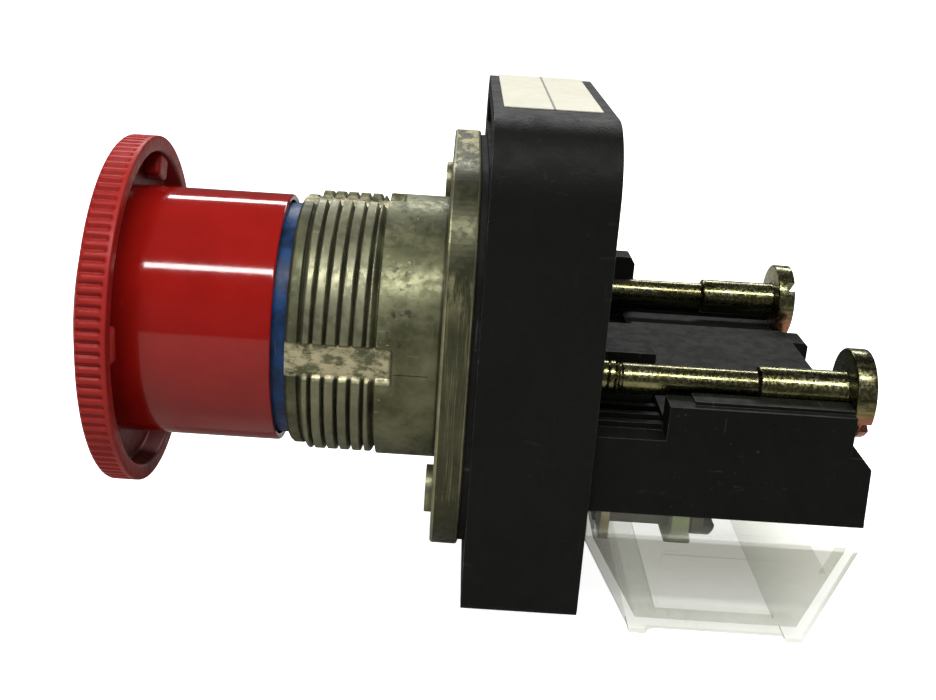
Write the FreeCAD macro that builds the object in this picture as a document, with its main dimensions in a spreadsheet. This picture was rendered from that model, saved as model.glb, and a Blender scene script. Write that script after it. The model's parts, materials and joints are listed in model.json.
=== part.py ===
import FreeCAD, Part
import math
import os

import Sketcher

# Emergency stop button for a 30.5 mm panel hole.  Millimetres, +Z up.
# The push axis lies along Y with the red head at -Y; the origin is on that axis, in the plane of
# the flange face that seats behind the panel.  Front means -Y, rear means +Y.

DRIVING_SIZES = {
    # red head
    "cap_radius": 20.0, "cap_rear": 33.7, "rim_thickness": 3.0, "cap_recess_radius": 18.0,
    "cap_floor": 36.1, "cap_face": 38.3, "cap_dome": 1.0, "rim_chamfer": 0.4,
    "knurl_count": 104.0, "knurl_depth": 0.45, "knurl_start": 34.2,
    "disc_radius": 13.0, "disc_thickness": 1.1, "hub_radius": 6.5, "hub_rear": 31.05,
    "skirt_gap": 0.25, "skirt_wall": 0.7, "skirt_rear": 18.03, "cap_spigot_wall": 1.2,
    "cap_spigot_length": 3.5, "screw_pocket_radius": 5.4,
    # blue sleeve and bushing
    "sleeve_radius": 12.95, "sleeve_wall": 1.65, "sleeve_front": 29.5, "sleeve_rear": 3.3,
    "collar_step": 0.4, "collar_front": 20.5, "sleeve_slot_width": 4.0,
    "bushing_front": 16.54, "sleeve_gap": 0.05, "barrel_wall": 2.0, "thread_depth": 0.85,
    "thread_pitch": 1.411, "thread_turns": 6.0, "thread_start": 15.1, "lead_drop": 0.6,
    "plain_rise": 0.15, "plain_length": 6.9, "lane_width": 3.6, "web_front": 3.2,
    "web_rear": 1.2, "rear_bore": 11.5,
    "flange_half": 21.5, "flange_corner": 12.0, "flange_thickness": 3.06,
    "flange_screw_x": 13.5, "flange_screw_z": 14.3, "flange_head_radius": 2.6,
    "flange_head_height": 0.8, "flange_shank_radius": 1.4, "flange_shank_length": 9.0,
    "gasket_thickness": 0.69, "gasket_inset": 0.5,
    # base
    "base_half_width": 23.06, "base_top": 27.4, "base_bottom": 23.75, "base_rear": 16.0,
    "base_corner": 7.4, "base_foot_corner": 1.0, "plate_gap": 0.5, "base_wall": 2.6,
    "base_pocket_depth": 1.5, "base_rim": 2.0, "window_half_width": 6.5, "window_half_height": 2.5,
    "label_centre_x": -2.3, "label_width": 28.2, "label_front": 4.8, "label_depth": 10.0,
    "label_thickness": 0.15,
    # moving core
    "journal_radius": 3.0, "shaft_radius": 4.0, "shaft_shoulder": 31.0, "shaft_rear": 12.3,
    "running_gap": 0.05, "free_gap": 0.3, "cap_screw_head": 4.8, "cap_screw_height": 1.6,
    "cap_screw_shank": 1.6, "cam_outer": 9.0, "cam_front": 35.8, "cam_rear": 28.4, "cam_lug": 1.2,
    "follower_rear": 24.6, "follower_gap": 0.6, "wiper_front": 23.6, "wiper_rear": 21.8,
    "seat_front": 13.2, "seat_rear": 12.0, "seat_gap": 1.8, "spring_wire": 0.45,
    "release_coil_radius": 6.4, "twist_coil_radius": 5.4, "detent_front": 4.9, "detent_rear": 9.8,
    "detent_radius": 7.0, "ball_radius": 1.2, "ball_ring_y": 3.4, "ball_circle": 8.35,
    "cage_front": 1.0, "cage_rear": 4.9, "cage_bore": 7.4, "garter_radius": 0.55,
    "plate_front": 10.3, "plate_radius": 11.5, "button_travel": 5.0,
    # contact block
    "block_half_width": 22.0, "block_rear": 41.9, "block_bottom": 11.6, "block_top": -2.0,
    "near_wall_top": 0.4, "far_wall_top": -1.0, "block_wall": 3.4, "front_step_rear": 23.2,
    "front_step_top": -3.3, "lip_top": -3.9, "lip_step": 1.2, "lip_chamfer": 1.2,
    "lip_reach": 2.6, "tab_rear": 24.4, "tab_top": 5.0, "near_tab_rear": 23.0,
    "near_tab_top": 2.4, "near_tab_x": 10.2, "near_tab_width": 3.6, "chamber_front": 17.2,
    "chamber_rear_wall": 1.4, "chamber_half": 8.2, "chamber_floor": 1.4, "divider": 1.0,
    "cover_half": 9.0, "cover_top": -0.7, "cover_front": 16.5, "cover_overhang": 0.3,
    "cover_corner": 0.5, "cover_tab_reach": 2.4, "cover_tab_width": 4.0, "cover_tab_drop": 2.8,
    "wall_lip_front": 25.8, "wall_lip_height": 0.4, "wall_lip_inset": 0.9,
    "step_rib_height": 0.7, "step_rib_width": 0.8, "step_rib_pitch": 2.4, "step_rib_x": 13.6,
    "plunger_x": 4.35, "plunger_z": -5.6, "plunger_width": 2.6, "plunger_height": 3.0,
    "plunger_rear": 30.0, "bridge_width": 7.0, "bridge_thickness": 0.6,
    "tip_offset": 2.6, "tip_radius": 0.8, "tip_height": 0.4, "nc_bridge_front": 24.85,
    "bridge_rim": 0.6, "tip_gap": 0.05,
    "no_bridge_front": 22.9, "contact_spring_radius": 1.0,
    "nc_plate_front": 17.9, "no_plate_front": 24.4, "plate_thickness": 1.0,
    "tab_width": 2.3, "tab_height": 3.0, "pad_width": 7.0, "pad_depth": 4.55,
    "inner_pad_x": 5.5, "outer_pad_x": 15.75, "terminal_drop": 2.5,
    "terminal_shank": 1.5, "terminal_head": 2.3, "terminal_head_height": 2.6,
    "terminal_reach": 9.9, "terminal_tip": 0.4, "saddle_width": 6.6, "saddle_height": 4.4,
    "saddle_depth": 3.0, "saddle_wall": 0.7, "slot_width": 0.9, "slot_depth": 1.0,
    # captive screws
    "captive_x": 16.3, "captive_z": 1.07, "captive_tip": 10.5, "captive_thread_rear": 18.6,
    "captive_shoulder": 32.8, "captive_head_height": 2.05, "captive_thread_radius": 1.75,
    "captive_thread_pitch": 0.75, "captive_thread_depth": 0.32, "captive_shank_radius": 1.6,
    "captive_thick_radius": 2.15, "captive_head_radius": 4.6, "captive_slot_width": 1.2,
    "insert_front": 8.0, "insert_radius": 3.1, "screw_hole_gap": 0.08,
    # clear guard
    "guard_wall": 0.9, "guard_front": 16.2, "guard_fit": 0.4, "guard_skirt": 1.8,
    "guard_front_skirt": 3.6, "guard_depth": 13.6, "guard_foot_front": 21.8,
    "guard_rear_taper": 4.3, "guard_window_depth": 7.4, "guard_side_margin": 2.4,
    "guard_slot_front": 25.0, "guard_slot_margin": 6.9, "guard_panel_depth": 0.3,
    "guard_panel_front": 24.3, "guard_panel_margin": 6.7, "guard_panel_drop": 4.5,
    "guard_foot": 0.5,
}


class Size:
    """A number that remembers the spreadsheet formula it came from."""

    def __init__(self, value, text):
        self.value = value
        self.text = text

    @staticmethod
    def of(other):
        return other if isinstance(other, Size) else Size(float(other), repr(float(other)))

    def join(self, other, sign, value):
        return Size(value, "(%s %s %s)" % (self.text, sign, other.text))

    def __add__(self, other):
        other = Size.of(other)
        return self.join(other, "+", self.value + other.value)

    def __sub__(self, other):
        other = Size.of(other)
        return self.join(other, "-", self.value - other.value)

    def __mul__(self, other):
        other = Size.of(other)
        return self.join(other, "*", self.value * other.value)

    def __truediv__(self, other):
        other = Size.of(other)
        return self.join(other, "/", self.value / other.value)

    def __neg__(self):
        return Size(-self.value, "(-1 * %s)" % self.text)

    __rmul__ = __mul__

    def __radd__(self, other):
        return Size.of(other) + self


class Sizes:
    """The spreadsheet: one aliased cell for each driving size."""

    def __init__(self, document, table):
        self.sheet = document.addObject("Spreadsheet::Sheet", "Dims")
        self.table = table
        for row, (name, value) in enumerate(table.items(), start=1):
            self.sheet.set("A%d" % row, name)
            self.sheet.set("B%d" % row, str(value))
            self.sheet.setAlias("B%d" % row, name)
        document.recompute()

    def __getattr__(self, name):
        return Size(self.table[name], "Dims." + name)


doc = FreeCAD.newDocument("emergency_stop_button")
dim = Sizes(doc, DRIVING_SIZES)

# Sizes of pieces that meet follow the piece they meet by a named step, wall or gap.
dim.sleeve_bore = dim.sleeve_radius - dim.sleeve_wall
dim.collar_radius = dim.sleeve_radius + dim.collar_step
dim.seat_radius = dim.sleeve_bore - dim.seat_gap
dim.skirt_radius = dim.collar_radius + dim.skirt_gap + dim.skirt_wall
dim.bushing_bore = dim.sleeve_radius + dim.sleeve_gap
dim.thread_radius = dim.bushing_bore + dim.barrel_wall
dim.lead_radius = dim.thread_radius - dim.lead_drop
dim.plain_radius = dim.thread_radius + dim.plain_rise
dim.base_bore = dim.plate_radius + dim.plate_gap
dim.follower_bore = dim.shaft_radius + dim.follower_gap
dim.lip_front = dim.block_rear + dim.lip_step
dim.lip_rear = dim.block_rear + dim.lip_reach
dim.chamber_rear = dim.block_rear - dim.chamber_rear_wall
dim.chamber_bottom = dim.block_bottom - dim.chamber_floor
dim.cover_rear = dim.block_rear + dim.cover_overhang
dim.cover_tab_rear = dim.block_rear + dim.cover_tab_reach
dim.terminal_z = -(dim.block_bottom + dim.terminal_drop)
dim.guard_rear = dim.lip_rear + dim.guard_fit
dim.guard_shoulder = dim.block_bottom + dim.guard_skirt
dim.guard_front_shoulder = dim.block_bottom + dim.guard_front_skirt
dim.guard_bottom = dim.block_bottom + dim.guard_depth
dim.guard_foot_rear = dim.guard_rear - dim.guard_rear_taper
dim.guard_window_bottom = dim.block_bottom + dim.guard_window_depth
dim.guard_slot_rear = dim.guard_rear - dim.guard_slot_margin
dim.guard_panel_rear = dim.guard_rear - dim.guard_panel_margin
dim.guard_panel_top = dim.block_bottom + dim.guard_panel_drop
ZERO = Size(0.0, "0.0")
pieces = []


def bind(target, path, size):
    """Ties a property or constraint of an object to a size."""
    target.setExpression(path, Size.of(size).text)


def new_body(label):
    """A PartDesign body whose label names its file."""
    body = doc.addObject("PartDesign::Body", label)
    body.Label = label
    pieces.append(body)
    return body


def place(body, x=ZERO, y=ZERO, z=ZERO):
    """Moves a finished piece by sizes from the sheet."""
    bind(body, "Placement.Base.x", x)
    bind(body, "Placement.Base.y", y)
    bind(body, "Placement.Base.z", z)


def new_sketch(body, role, offset=ZERO):
    """A sketch on one of the body's origin planes, moved along the plane's normal."""
    sketch = body.newObject("Sketcher::SketchObject", body.Label + "_sketch")
    plane = [item for item in body.Origin.OriginFeatures if item.Role == role][0]
    sketch.AttachmentSupport = [(plane, "")]
    sketch.MapMode = "FlatFace"
    bind(sketch, "AttachmentOffset.Base.z", offset)
    return sketch


def cross_sketch(body, y=ZERO):
    """A sketch in the X-Z plane at a given Y; its normal points to -Y."""
    return new_sketch(body, "XZ_Plane", -Size.of(y))


def fix_point(sketch, geometry, vertex, x, y):
    """Holds one point of the sketch at sizes measured from its origin."""
    for kind, size in (("DistanceX", Size.of(x)), ("DistanceY", Size.of(y))):
        constraint = Sketcher.Constraint(kind, -1, 1, geometry, vertex, size.value)
        bind(sketch, "Constraints[%d]" % sketch.addConstraint(constraint), size)


def add_outline(sketch, corners):
    """A closed run of straight lines through corners given as pairs of sizes."""
    points = [FreeCAD.Vector(Size.of(x).value, Size.of(y).value, 0) for x, y in corners]
    first = sketch.GeometryCount
    count = len(points)
    for index, start in enumerate(points):
        sketch.addGeometry(Part.LineSegment(start, points[(index + 1) % count]), False)
    for index, (x, y) in enumerate(corners):
        following = first + (index - 1) % count
        sketch.addConstraint(Sketcher.Constraint("Coincident", following, 2, first + index, 1))
        fix_point(sketch, first + index, 1, x, y)


def add_box(sketch, x_low, x_high, y_low, y_high):
    """A rectangle from its four sides."""
    add_outline(sketch, [(x_low, y_low), (x_high, y_low), (x_high, y_high), (x_low, y_high)])


def add_circle(sketch, radius, x=ZERO, y=ZERO):
    """A circle with its centre at sizes measured from the sketch's origin."""
    centre = FreeCAD.Vector(Size.of(x).value, Size.of(y).value, 0)
    circle = Part.Circle(centre, FreeCAD.Vector(0, 0, 1), Size.of(radius).value)
    index = sketch.addGeometry(circle, False)
    fix_point(sketch, index, 3, x, y)
    constraint = sketch.addConstraint(Sketcher.Constraint("Radius", index, Size.of(radius).value))
    bind(sketch, "Constraints[%d]" % constraint, radius)


def extrude(body, sketch, length, kind="Pad", with_normal=False):
    """Pads or pockets a sketch; against the normal of a cross sketch is towards +Y."""
    feature = body.newObject("PartDesign::" + kind, body.Label + "_" + kind.lower())
    feature.Profile = sketch
    bind(feature, "Length", length)
    feature.Reversed = with_normal == (kind == "Pocket")
    doc.recompute()
    if not feature.isValid():
        raise RuntimeError("%s: %s did not compute" % (body.Label, feature.Name))
    base = feature.BaseFeature
    gained = body.Shape.Volume - (base.Shape.Volume if base else 0.0)
    if (gained > 0) != (kind == "Pad") or abs(gained) < 1e-6:
        raise RuntimeError("%s: %s changed the volume by %.4f" % (body.Label, feature.Name, gained))
    return feature


def turn(body, corners, kind="Revolution"):
    """Revolves an outline of (radius, y) corners about the body's Y axis."""
    sketch = new_sketch(body, "XY_Plane")
    add_outline(sketch, corners)
    feature = body.newObject("PartDesign::" + kind, body.Label + "_" + kind.lower())
    feature.Profile = sketch
    feature.ReferenceAxis = (sketch, ["V_Axis"])
    feature.Angle = 360
    doc.recompute()
    if not feature.isValid():
        raise RuntimeError("%s: %s did not compute" % (body.Label, feature.Name))
    return feature


def ring(body, inner, outer, front, rear):
    """A plain ring between two radii and two Y positions."""
    return turn(body, [(inner, front), (outer, front), (outer, rear), (inner, rear)])


def repeat_round(body, feature, count):
    """Repeats a feature around the Y axis."""
    pattern = body.newObject("PartDesign::PolarPattern", body.Label + "_round")
    pattern.Originals = [feature]
    axis = [item for item in body.Origin.OriginFeatures if item.Role == "Y_Axis"][0]
    pattern.Axis = (axis, [""])
    pattern.Angle = 360
    if isinstance(count, Size):
        bind(pattern, "Occurrences", count)
    else:
        pattern.Occurrences = count
    body.Tip = pattern
    doc.recompute()
    return pattern


def repeat_along(body, feature, role, step, count):
    """Repeats a feature along an origin axis at a stepped distance."""
    pattern = body.newObject("PartDesign::LinearPattern", body.Label + "_along")
    pattern.Originals = [feature]
    axis = [item for item in body.Origin.OriginFeatures if item.Role == role][0]
    pattern.Direction = (axis, [""])
    pattern.Mode = "Extent"
    bind(pattern, "Length", step * (Size.of(count) - 1))
    bind(pattern, "Occurrences", count)
    body.Tip = pattern
    doc.recompute()
    return pattern


def coil(label, centre_radius, wire, front, rear, turns, x=ZERO, z=ZERO):
    """A helical spring along Y between two Y positions."""
    body = new_body(label)
    sketch = new_sketch(body, "XY_Plane")
    add_circle(sketch, wire, centre_radius, front + wire)
    helix = body.newObject("PartDesign::AdditiveHelix", label + "_helix")
    helix.Profile = sketch
    helix.ReferenceAxis = (sketch, ["V_Axis"])
    helix.Mode = 1
    length = rear - front - wire * 2
    bind(helix, "Pitch", length / turns)
    helix.Turns = turns
    place(body, x, ZERO, z)
    doc.recompute()
    return body


# ---- red head ----------------------------------------------------------------------------------

def make_mushroom_cap():
    """Mushroom head: knurled rim, recessed back, spigot for the skirt and a hub on the shaft."""
    body = new_body("mushroom_cap")
    rim_front = -(dim.cap_rear + dim.rim_thickness)
    bore = dim.journal_radius + dim.running_gap
    spigot = dim.skirt_radius - dim.skirt_wall
    pocket_floor = -(dim.cap_floor - 0.12)
    turn(body, [
        (bore, -dim.hub_rear), (bore, pocket_floor), (dim.screw_pocket_radius, pocket_floor),
        (dim.screw_pocket_radius, -dim.cap_face), (dim.disc_radius, -dim.cap_face),
        (dim.disc_radius, -(dim.cap_face + dim.cap_dome)),
        (dim.cap_radius - dim.rim_chamfer, rim_front - 0.35), (dim.cap_radius, rim_front),
        (dim.cap_radius, -(dim.cap_rear + dim.rim_chamfer)),
        (dim.cap_radius - dim.rim_chamfer, -dim.cap_rear),
        (dim.cap_recess_radius, -dim.cap_rear), (dim.cap_recess_radius, -dim.cap_floor),
        (spigot, -dim.cap_floor), (spigot, -(dim.cap_floor - dim.cap_spigot_length)),
        (spigot - dim.cap_spigot_wall, -(dim.cap_floor - dim.cap_spigot_length)),
        (spigot - dim.cap_spigot_wall, -dim.cap_floor), (dim.hub_radius, -dim.cap_floor),
        (dim.hub_radius, -dim.hub_rear)])
    notch = cross_sketch(body, rim_front)
    half = dim.cap_radius * (math.pi / 3.2) / dim.knurl_count
    add_outline(notch, [(dim.cap_radius - dim.knurl_depth, ZERO),
                        (dim.cap_radius + 0.2, -half), (dim.cap_radius + 0.2, half)])
    cut = extrude(body, notch, dim.cap_rear + dim.rim_thickness - dim.knurl_start, "Pocket")
    repeat_round(body, cut, dim.knurl_count)
    return body


def make_cap_disc():
    """Flush disc that closes the front of the head over its screw."""
    body = new_body("cap_disc")
    turn(body, [(ZERO, -dim.cap_face), (dim.disc_radius, -dim.cap_face),
                (dim.disc_radius, -(dim.cap_face + dim.cap_dome)),
                (dim.disc_radius * 0.6, -(dim.cap_face + dim.disc_thickness * 1.15)),
                (ZERO, -(dim.cap_face + dim.disc_thickness * 1.25))])
    return body


def make_button_skirt():
    """Thin tube behind the head that hides the sleeve."""
    body = new_body("button_skirt")
    inner = dim.skirt_radius - dim.skirt_wall
    lip = dim.skirt_wall * 0.5
    turn(body, [(inner, -dim.cap_floor), (dim.skirt_radius, -dim.cap_floor),
                (dim.skirt_radius, -(dim.skirt_rear + lip)), (dim.skirt_radius - lip, -dim.skirt_rear),
                (inner, -dim.skirt_rear)])
    return body


def make_cap_screw():
    """Slotted screw that holds the head on the shaft and lets it turn."""
    body = new_body("cap_screw")
    seat = -(dim.cap_floor - 0.05)
    turn(body, [(ZERO, seat - dim.cap_screw_height), (dim.cap_screw_head, seat - dim.cap_screw_height),
                (dim.cap_screw_head, seat), (dim.cap_screw_shank, seat),
                (dim.cap_screw_shank, seat + 9.0), (ZERO, seat + 9.0)])
    slot = cross_sketch(body, seat - dim.cap_screw_height)
    add_box(slot, -dim.cap_screw_head, dim.cap_screw_head, -dim.slot_width / 2, dim.slot_width / 2)
    extrude(body, slot, dim.slot_depth * 0.8, "Pocket")
    return body


def make_twist_cam():
    """Collar on the head's hub with three lugs that ride on the cam follower."""
    body = new_body("twist_cam")
    ring(body, dim.hub_radius, dim.cam_outer, -dim.cam_front, -dim.cam_rear)
    add_lugs(body, -dim.cam_rear, dim.hub_radius, dim.cam_outer, True)
    return body


def add_lugs(body, y, inner, outer, rearwards):
    """Three lugs on a ring's face, all round the Y axis."""
    sketch = cross_sketch(body, y)
    middle = (inner + outer) / 2
    half = (outer - inner) / 2 - 0.15
    add_box(sketch, middle - half, middle + half, Size.of(-2.0), Size.of(2.0))
    lug = extrude(body, sketch, dim.cam_lug, "Pad", not rearwards)
    repeat_round(body, lug, 3)


def make_cam_follower():
    """Fixed ring inside the sleeve that the twist cam's lugs climb."""
    body = new_body("cam_follower")
    front = -(dim.cam_rear - dim.cam_lug - dim.free_gap)
    ring(body, dim.follower_bore, dim.sleeve_bore, front + dim.cam_lug, -dim.follower_rear)
    add_lugs(body, front + dim.cam_lug, dim.hub_radius, dim.cam_outer, False)
    return body


# ---- bushing, sleeve and what seals them -------------------------------------------------------

def make_threaded_bushing():
    """Die-cast bushing: thread with four flat lanes, plain barrel, square flange, inner web."""
    body = new_body("threaded_bushing")
    root = dim.thread_radius - dim.thread_depth
    bore = dim.bushing_bore
    turn(body, [
        (bore, -dim.bushing_front), (dim.lead_radius - 0.3, -dim.bushing_front),
        (dim.lead_radius, -(dim.bushing_front - 0.3)), (dim.lead_radius, -dim.thread_start),
        (root, -dim.thread_start), (root, -dim.plain_length), (dim.plain_radius, -dim.plain_length),
        (dim.plain_radius, ZERO), (dim.plain_radius, dim.flange_thickness),
        (dim.rear_bore, dim.flange_thickness), (dim.rear_bore, -dim.web_rear),
        (dim.shaft_radius + dim.running_gap, -dim.web_rear),
        (dim.shaft_radius + dim.running_gap, -dim.web_front), (bore, -dim.web_front)])
    crest = dim.thread_pitch * 0.12
    start = -dim.thread_start
    flank = dim.thread_pitch * 0.26
    middle = start + flank + crest
    thread = turn(body, [(root, middle - flank - crest), (dim.thread_radius, middle - crest),
                         (dim.thread_radius, middle + crest), (root, middle + flank + crest),
                         (root - 0.3, middle + flank + crest), (root - 0.3, middle - flank - crest)])
    repeat_along(body, thread, "Y_Axis", dim.thread_pitch, dim.thread_turns)
    lane = cross_sketch(body, -(dim.bushing_front + 0.1))
    add_box(lane, root, dim.plain_radius + 1.0, -dim.lane_width / 2, dim.lane_width / 2)
    cut = extrude(body, lane, dim.bushing_front + 0.1 - dim.plain_length + 1.3, "Pocket")
    repeat_round(body, cut, 4)
    add_flange(body, ZERO, dim.flange_thickness, dim.flange_half, dim.flange_corner, dim.rear_bore + 1)
    cut_flange_holes(body, ZERO, dim.flange_thickness)
    return body


def add_flange(body, front, thickness, half, corner, bore):
    """A square plate with round corners and a round hole, normal to Y."""
    sketch = cross_sketch(body, front)
    add_rounded_square(sketch, half, corner)
    add_circle(sketch, bore)
    return extrude(body, sketch, thickness)


def add_rounded_square(sketch, half, corner):
    """A square of lines and tangent quarter circles centred on the sketch's origin."""
    flat = half - corner
    reach = half.value
    edge = flat.value
    first = sketch.GeometryCount
    starts = [((-edge, reach), (edge, reach)), ((reach, edge), (reach, -edge)),
              ((edge, -reach), (-edge, -reach)), ((-reach, -edge), (-reach, edge))]
    sizes = [((-flat, half), (flat, half)), ((half, flat), (half, -flat)),
             ((flat, -half), (-flat, -half)), ((-half, -flat), (-half, flat))]
    for (x0, y0), (x1, y1) in starts:
        line = Part.LineSegment(FreeCAD.Vector(x0, y0, 0), FreeCAD.Vector(x1, y1, 0))
        sketch.addGeometry(line, False)
    for index, ((x0, y0), (x1, y1)) in enumerate(sizes):
        fix_point(sketch, first + index, 1, x0, y0)
        fix_point(sketch, first + index, 2, x1, y1)
    for index, (sign_x, sign_y) in enumerate(((1, 1), (1, -1), (-1, -1), (-1, 1))):
        centre = FreeCAD.Vector(sign_x * edge, sign_y * edge, 0)
        circle = Part.Circle(centre, FreeCAD.Vector(0, 0, 1), corner.value)
        start = math.atan2(sign_y, sign_x) - math.pi / 4
        arc = sketch.addGeometry(Part.ArcOfCircle(circle, start, start + math.pi / 2), False)
        before = first + index
        after = first + (index + 1) % 4
        sketch.addConstraint(Sketcher.Constraint("Coincident", arc, 2, before, 2))
        sketch.addConstraint(Sketcher.Constraint("Coincident", arc, 1, after, 1))
        radius = sketch.addConstraint(Sketcher.Constraint("Radius", arc, corner.value))
        bind(sketch, "Constraints[%d]" % radius, corner)


def cut_flange_holes(body, front, depth):
    """Two holes on a diagonal for the flange screws."""
    sketch = cross_sketch(body, front)
    hole = dim.flange_shank_radius + dim.screw_hole_gap
    add_circle(sketch, hole, dim.flange_screw_x, -dim.flange_screw_z)
    add_circle(sketch, hole, -dim.flange_screw_x, dim.flange_screw_z)
    extrude(body, sketch, depth, "Pocket")


def make_guide_sleeve():
    """Blue sleeve: a body inside the bushing, a collar in front of it and a nose in the skirt."""
    body = new_body("guide_sleeve")
    turn(body, [(dim.sleeve_bore, -dim.sleeve_front), (dim.sleeve_radius, -dim.sleeve_front),
                (dim.sleeve_radius, -dim.collar_front), (dim.collar_radius, -dim.collar_front),
                (dim.collar_radius, -dim.bushing_front), (dim.sleeve_radius, -dim.bushing_front),
                (dim.sleeve_radius, -dim.sleeve_rear), (dim.sleeve_bore, -dim.sleeve_rear)])
    slot = cross_sketch(body, -dim.sleeve_front)
    half = dim.sleeve_slot_width / 2
    add_box(slot, dim.sleeve_bore - 1, dim.collar_radius + 1, -half, half)
    cut = extrude(body, slot, dim.sleeve_front - dim.collar_front - 1.0, "Pocket")
    repeat_round(body, cut, 4)
    return body


def make_wiper_seal():
    """Rubber wiper between the sleeve and the shaft."""
    body = new_body("wiper_seal")
    lip = dim.shaft_radius + dim.free_gap
    middle = -(dim.wiper_front + dim.wiper_rear) / 2
    turn(body, [(lip + 1.2, -dim.wiper_front), (dim.sleeve_bore, -dim.wiper_front),
                (dim.sleeve_bore, -dim.wiper_rear), (lip + 1.2, -dim.wiper_rear), (lip, middle)])
    return body


def make_flange_screws():
    """Two pan-head screws through the flange into the base, as one node."""
    body = new_body("flange_screws")
    for sign in (1, -1):
        x = sign * dim.flange_screw_x
        z = -sign * dim.flange_screw_z
        head = cross_sketch(body, -dim.flange_head_height)
        add_circle(head, dim.flange_head_radius, x, z)
        extrude(body, head, dim.flange_head_height)
        shank = cross_sketch(body, ZERO)
        add_circle(shank, dim.flange_shank_radius, x, z)
        extrude(body, shank, dim.flange_shank_length)
        slot = cross_sketch(body, -dim.flange_head_height)
        reach = dim.flange_head_radius * 0.62
        half = dim.slot_width * 0.4
        add_box(slot, x - reach, x + reach, z - half, z + half)
        extrude(body, slot, dim.flange_head_height * 0.6, "Pocket")
    return body


def make_flange_gasket():
    """Thin gasket between the flange and the base."""
    body = new_body("flange_gasket")
    half = dim.flange_half - dim.gasket_inset
    add_flange(body, dim.flange_thickness, dim.gasket_thickness, half,
               dim.flange_corner - dim.gasket_inset, dim.base_bore)
    cut_flange_holes(body, dim.flange_thickness, dim.gasket_thickness)
    return body


# ---- base --------------------------------------------------------------------------------------

def make_base_housing():
    """Moulded base: round bore for the core, rear window, screw bosses, pocket over the flange."""
    body = new_body("base_housing")
    front = dim.flange_thickness + dim.gasket_thickness
    depth = dim.base_rear - front
    shell = cross_sketch(body, front)
    add_base_outline(shell)
    extrude(body, shell, depth)
    bore = cross_sketch(body, front)
    add_circle(bore, dim.base_bore)
    extrude(body, bore, depth - dim.base_wall, "Pocket")
    window = cross_sketch(body, dim.base_rear - dim.base_wall)
    add_box(window, -dim.window_half_width, dim.window_half_width,
            dim.plunger_z - dim.window_half_height, dim.plunger_z + dim.window_half_height)
    extrude(body, window, dim.base_wall, "Pocket")
    inserts = cross_sketch(body, dim.insert_front)
    for sign in (1, -1):
        add_circle(inserts, dim.insert_radius, sign * dim.captive_x, dim.captive_z)
    extrude(body, inserts, dim.base_rear - dim.insert_front, "Pocket")
    cut_flange_holes(body, front, dim.flange_shank_length - front + 0.5)
    pocket = cross_sketch(body, front)
    side = dim.base_half_width - dim.base_rim - dim.base_corner + 2.0
    add_box(pocket, -side, side, dim.flange_half + 0.4, dim.base_top - dim.base_rim)
    extrude(body, pocket, dim.base_pocket_depth, "Pocket")
    return body


def add_base_outline(sketch):
    """The base seen from the front: large round corners on top, small ones at the foot."""
    width = dim.base_half_width
    top = dim.base_top
    foot = -dim.base_bottom
    large = dim.base_corner
    small = dim.base_foot_corner
    lines = [((-(width - large)), top, width - large, top), (width, top - large, width, foot + small),
             (width - small, foot, -(width - small), foot), (-width, foot + small, -width, top - large)]
    for x0, y0, x1, y1 in lines:
        start = FreeCAD.Vector(x0.value, y0.value, 0)
        sketch.addGeometry(Part.LineSegment(start, FreeCAD.Vector(x1.value, y1.value, 0)), False)
    for index, (x0, y0, x1, y1) in enumerate(lines):
        fix_point(sketch, index, 1, x0, y0)
        fix_point(sketch, index, 2, x1, y1)
    corners = [(width - large, top - large, large, 0.0), (width - small, foot + small, small, -90.0),
               (-(width - small), foot + small, small, 180.0), (-(width - large), top - large, large, 90.0)]
    for index, (x, y, radius, angle) in enumerate(corners):
        circle = Part.Circle(FreeCAD.Vector(x.value, y.value, 0), FreeCAD.Vector(0, 0, 1), radius.value)
        start = math.radians(angle)
        arc = sketch.addGeometry(Part.ArcOfCircle(circle, start, start + math.pi / 2), False)
        sketch.addConstraint(Sketcher.Constraint("Coincident", arc, 2, index, 2))
        sketch.addConstraint(Sketcher.Constraint("Coincident", arc, 1, (index + 1) % 4, 1))
        limit = sketch.addConstraint(Sketcher.Constraint("Radius", arc, radius.value))
        bind(sketch, "Constraints[%d]" % limit, radius)


def make_rating_label():
    """Blank label on the base's top face."""
    body = new_body("rating_label")
    sketch = cross_sketch(body, dim.label_front)
    half = dim.label_width / 2
    add_box(sketch, dim.label_centre_x - half, dim.label_centre_x + half,
            dim.base_top, dim.base_top + dim.label_thickness)
    extrude(body, sketch, dim.label_depth)
    return body


def make_base_inserts():
    """Two threaded brass inserts moulded in the base, as one node."""
    body = new_body("base_inserts")
    sketch = cross_sketch(body, dim.insert_front)
    for sign in (1, -1):
        add_circle(sketch, dim.insert_radius, sign * dim.captive_x, dim.captive_z)
        add_circle(sketch, dim.captive_thread_radius + dim.screw_hole_gap, sign * dim.captive_x,
                   dim.captive_z)
    extrude(body, sketch, dim.base_rear - dim.insert_front)
    return body


# ---- moving core -------------------------------------------------------------------------------

def make_operating_shaft():
    """Shaft with the journal that the head turns on and a tapped hole for its screw."""
    body = new_body("operating_shaft")
    front = -(dim.cap_floor - 0.05)
    turn(body, [(dim.cap_screw_shank, front), (dim.journal_radius, front),
                (dim.journal_radius, -dim.shaft_shoulder), (dim.shaft_radius, -dim.shaft_shoulder),
                (dim.shaft_radius, dim.plate_front), (ZERO, dim.plate_front),
                (ZERO, front + 9.0), (dim.cap_screw_shank, front + 9.0)])
    return body


def make_spring_seat():
    """Ring on the shaft that the release spring pushes."""
    body = new_body("spring_seat")
    ring(body, dim.shaft_radius, dim.seat_radius, -dim.seat_front, -dim.seat_rear)
    return body


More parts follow.
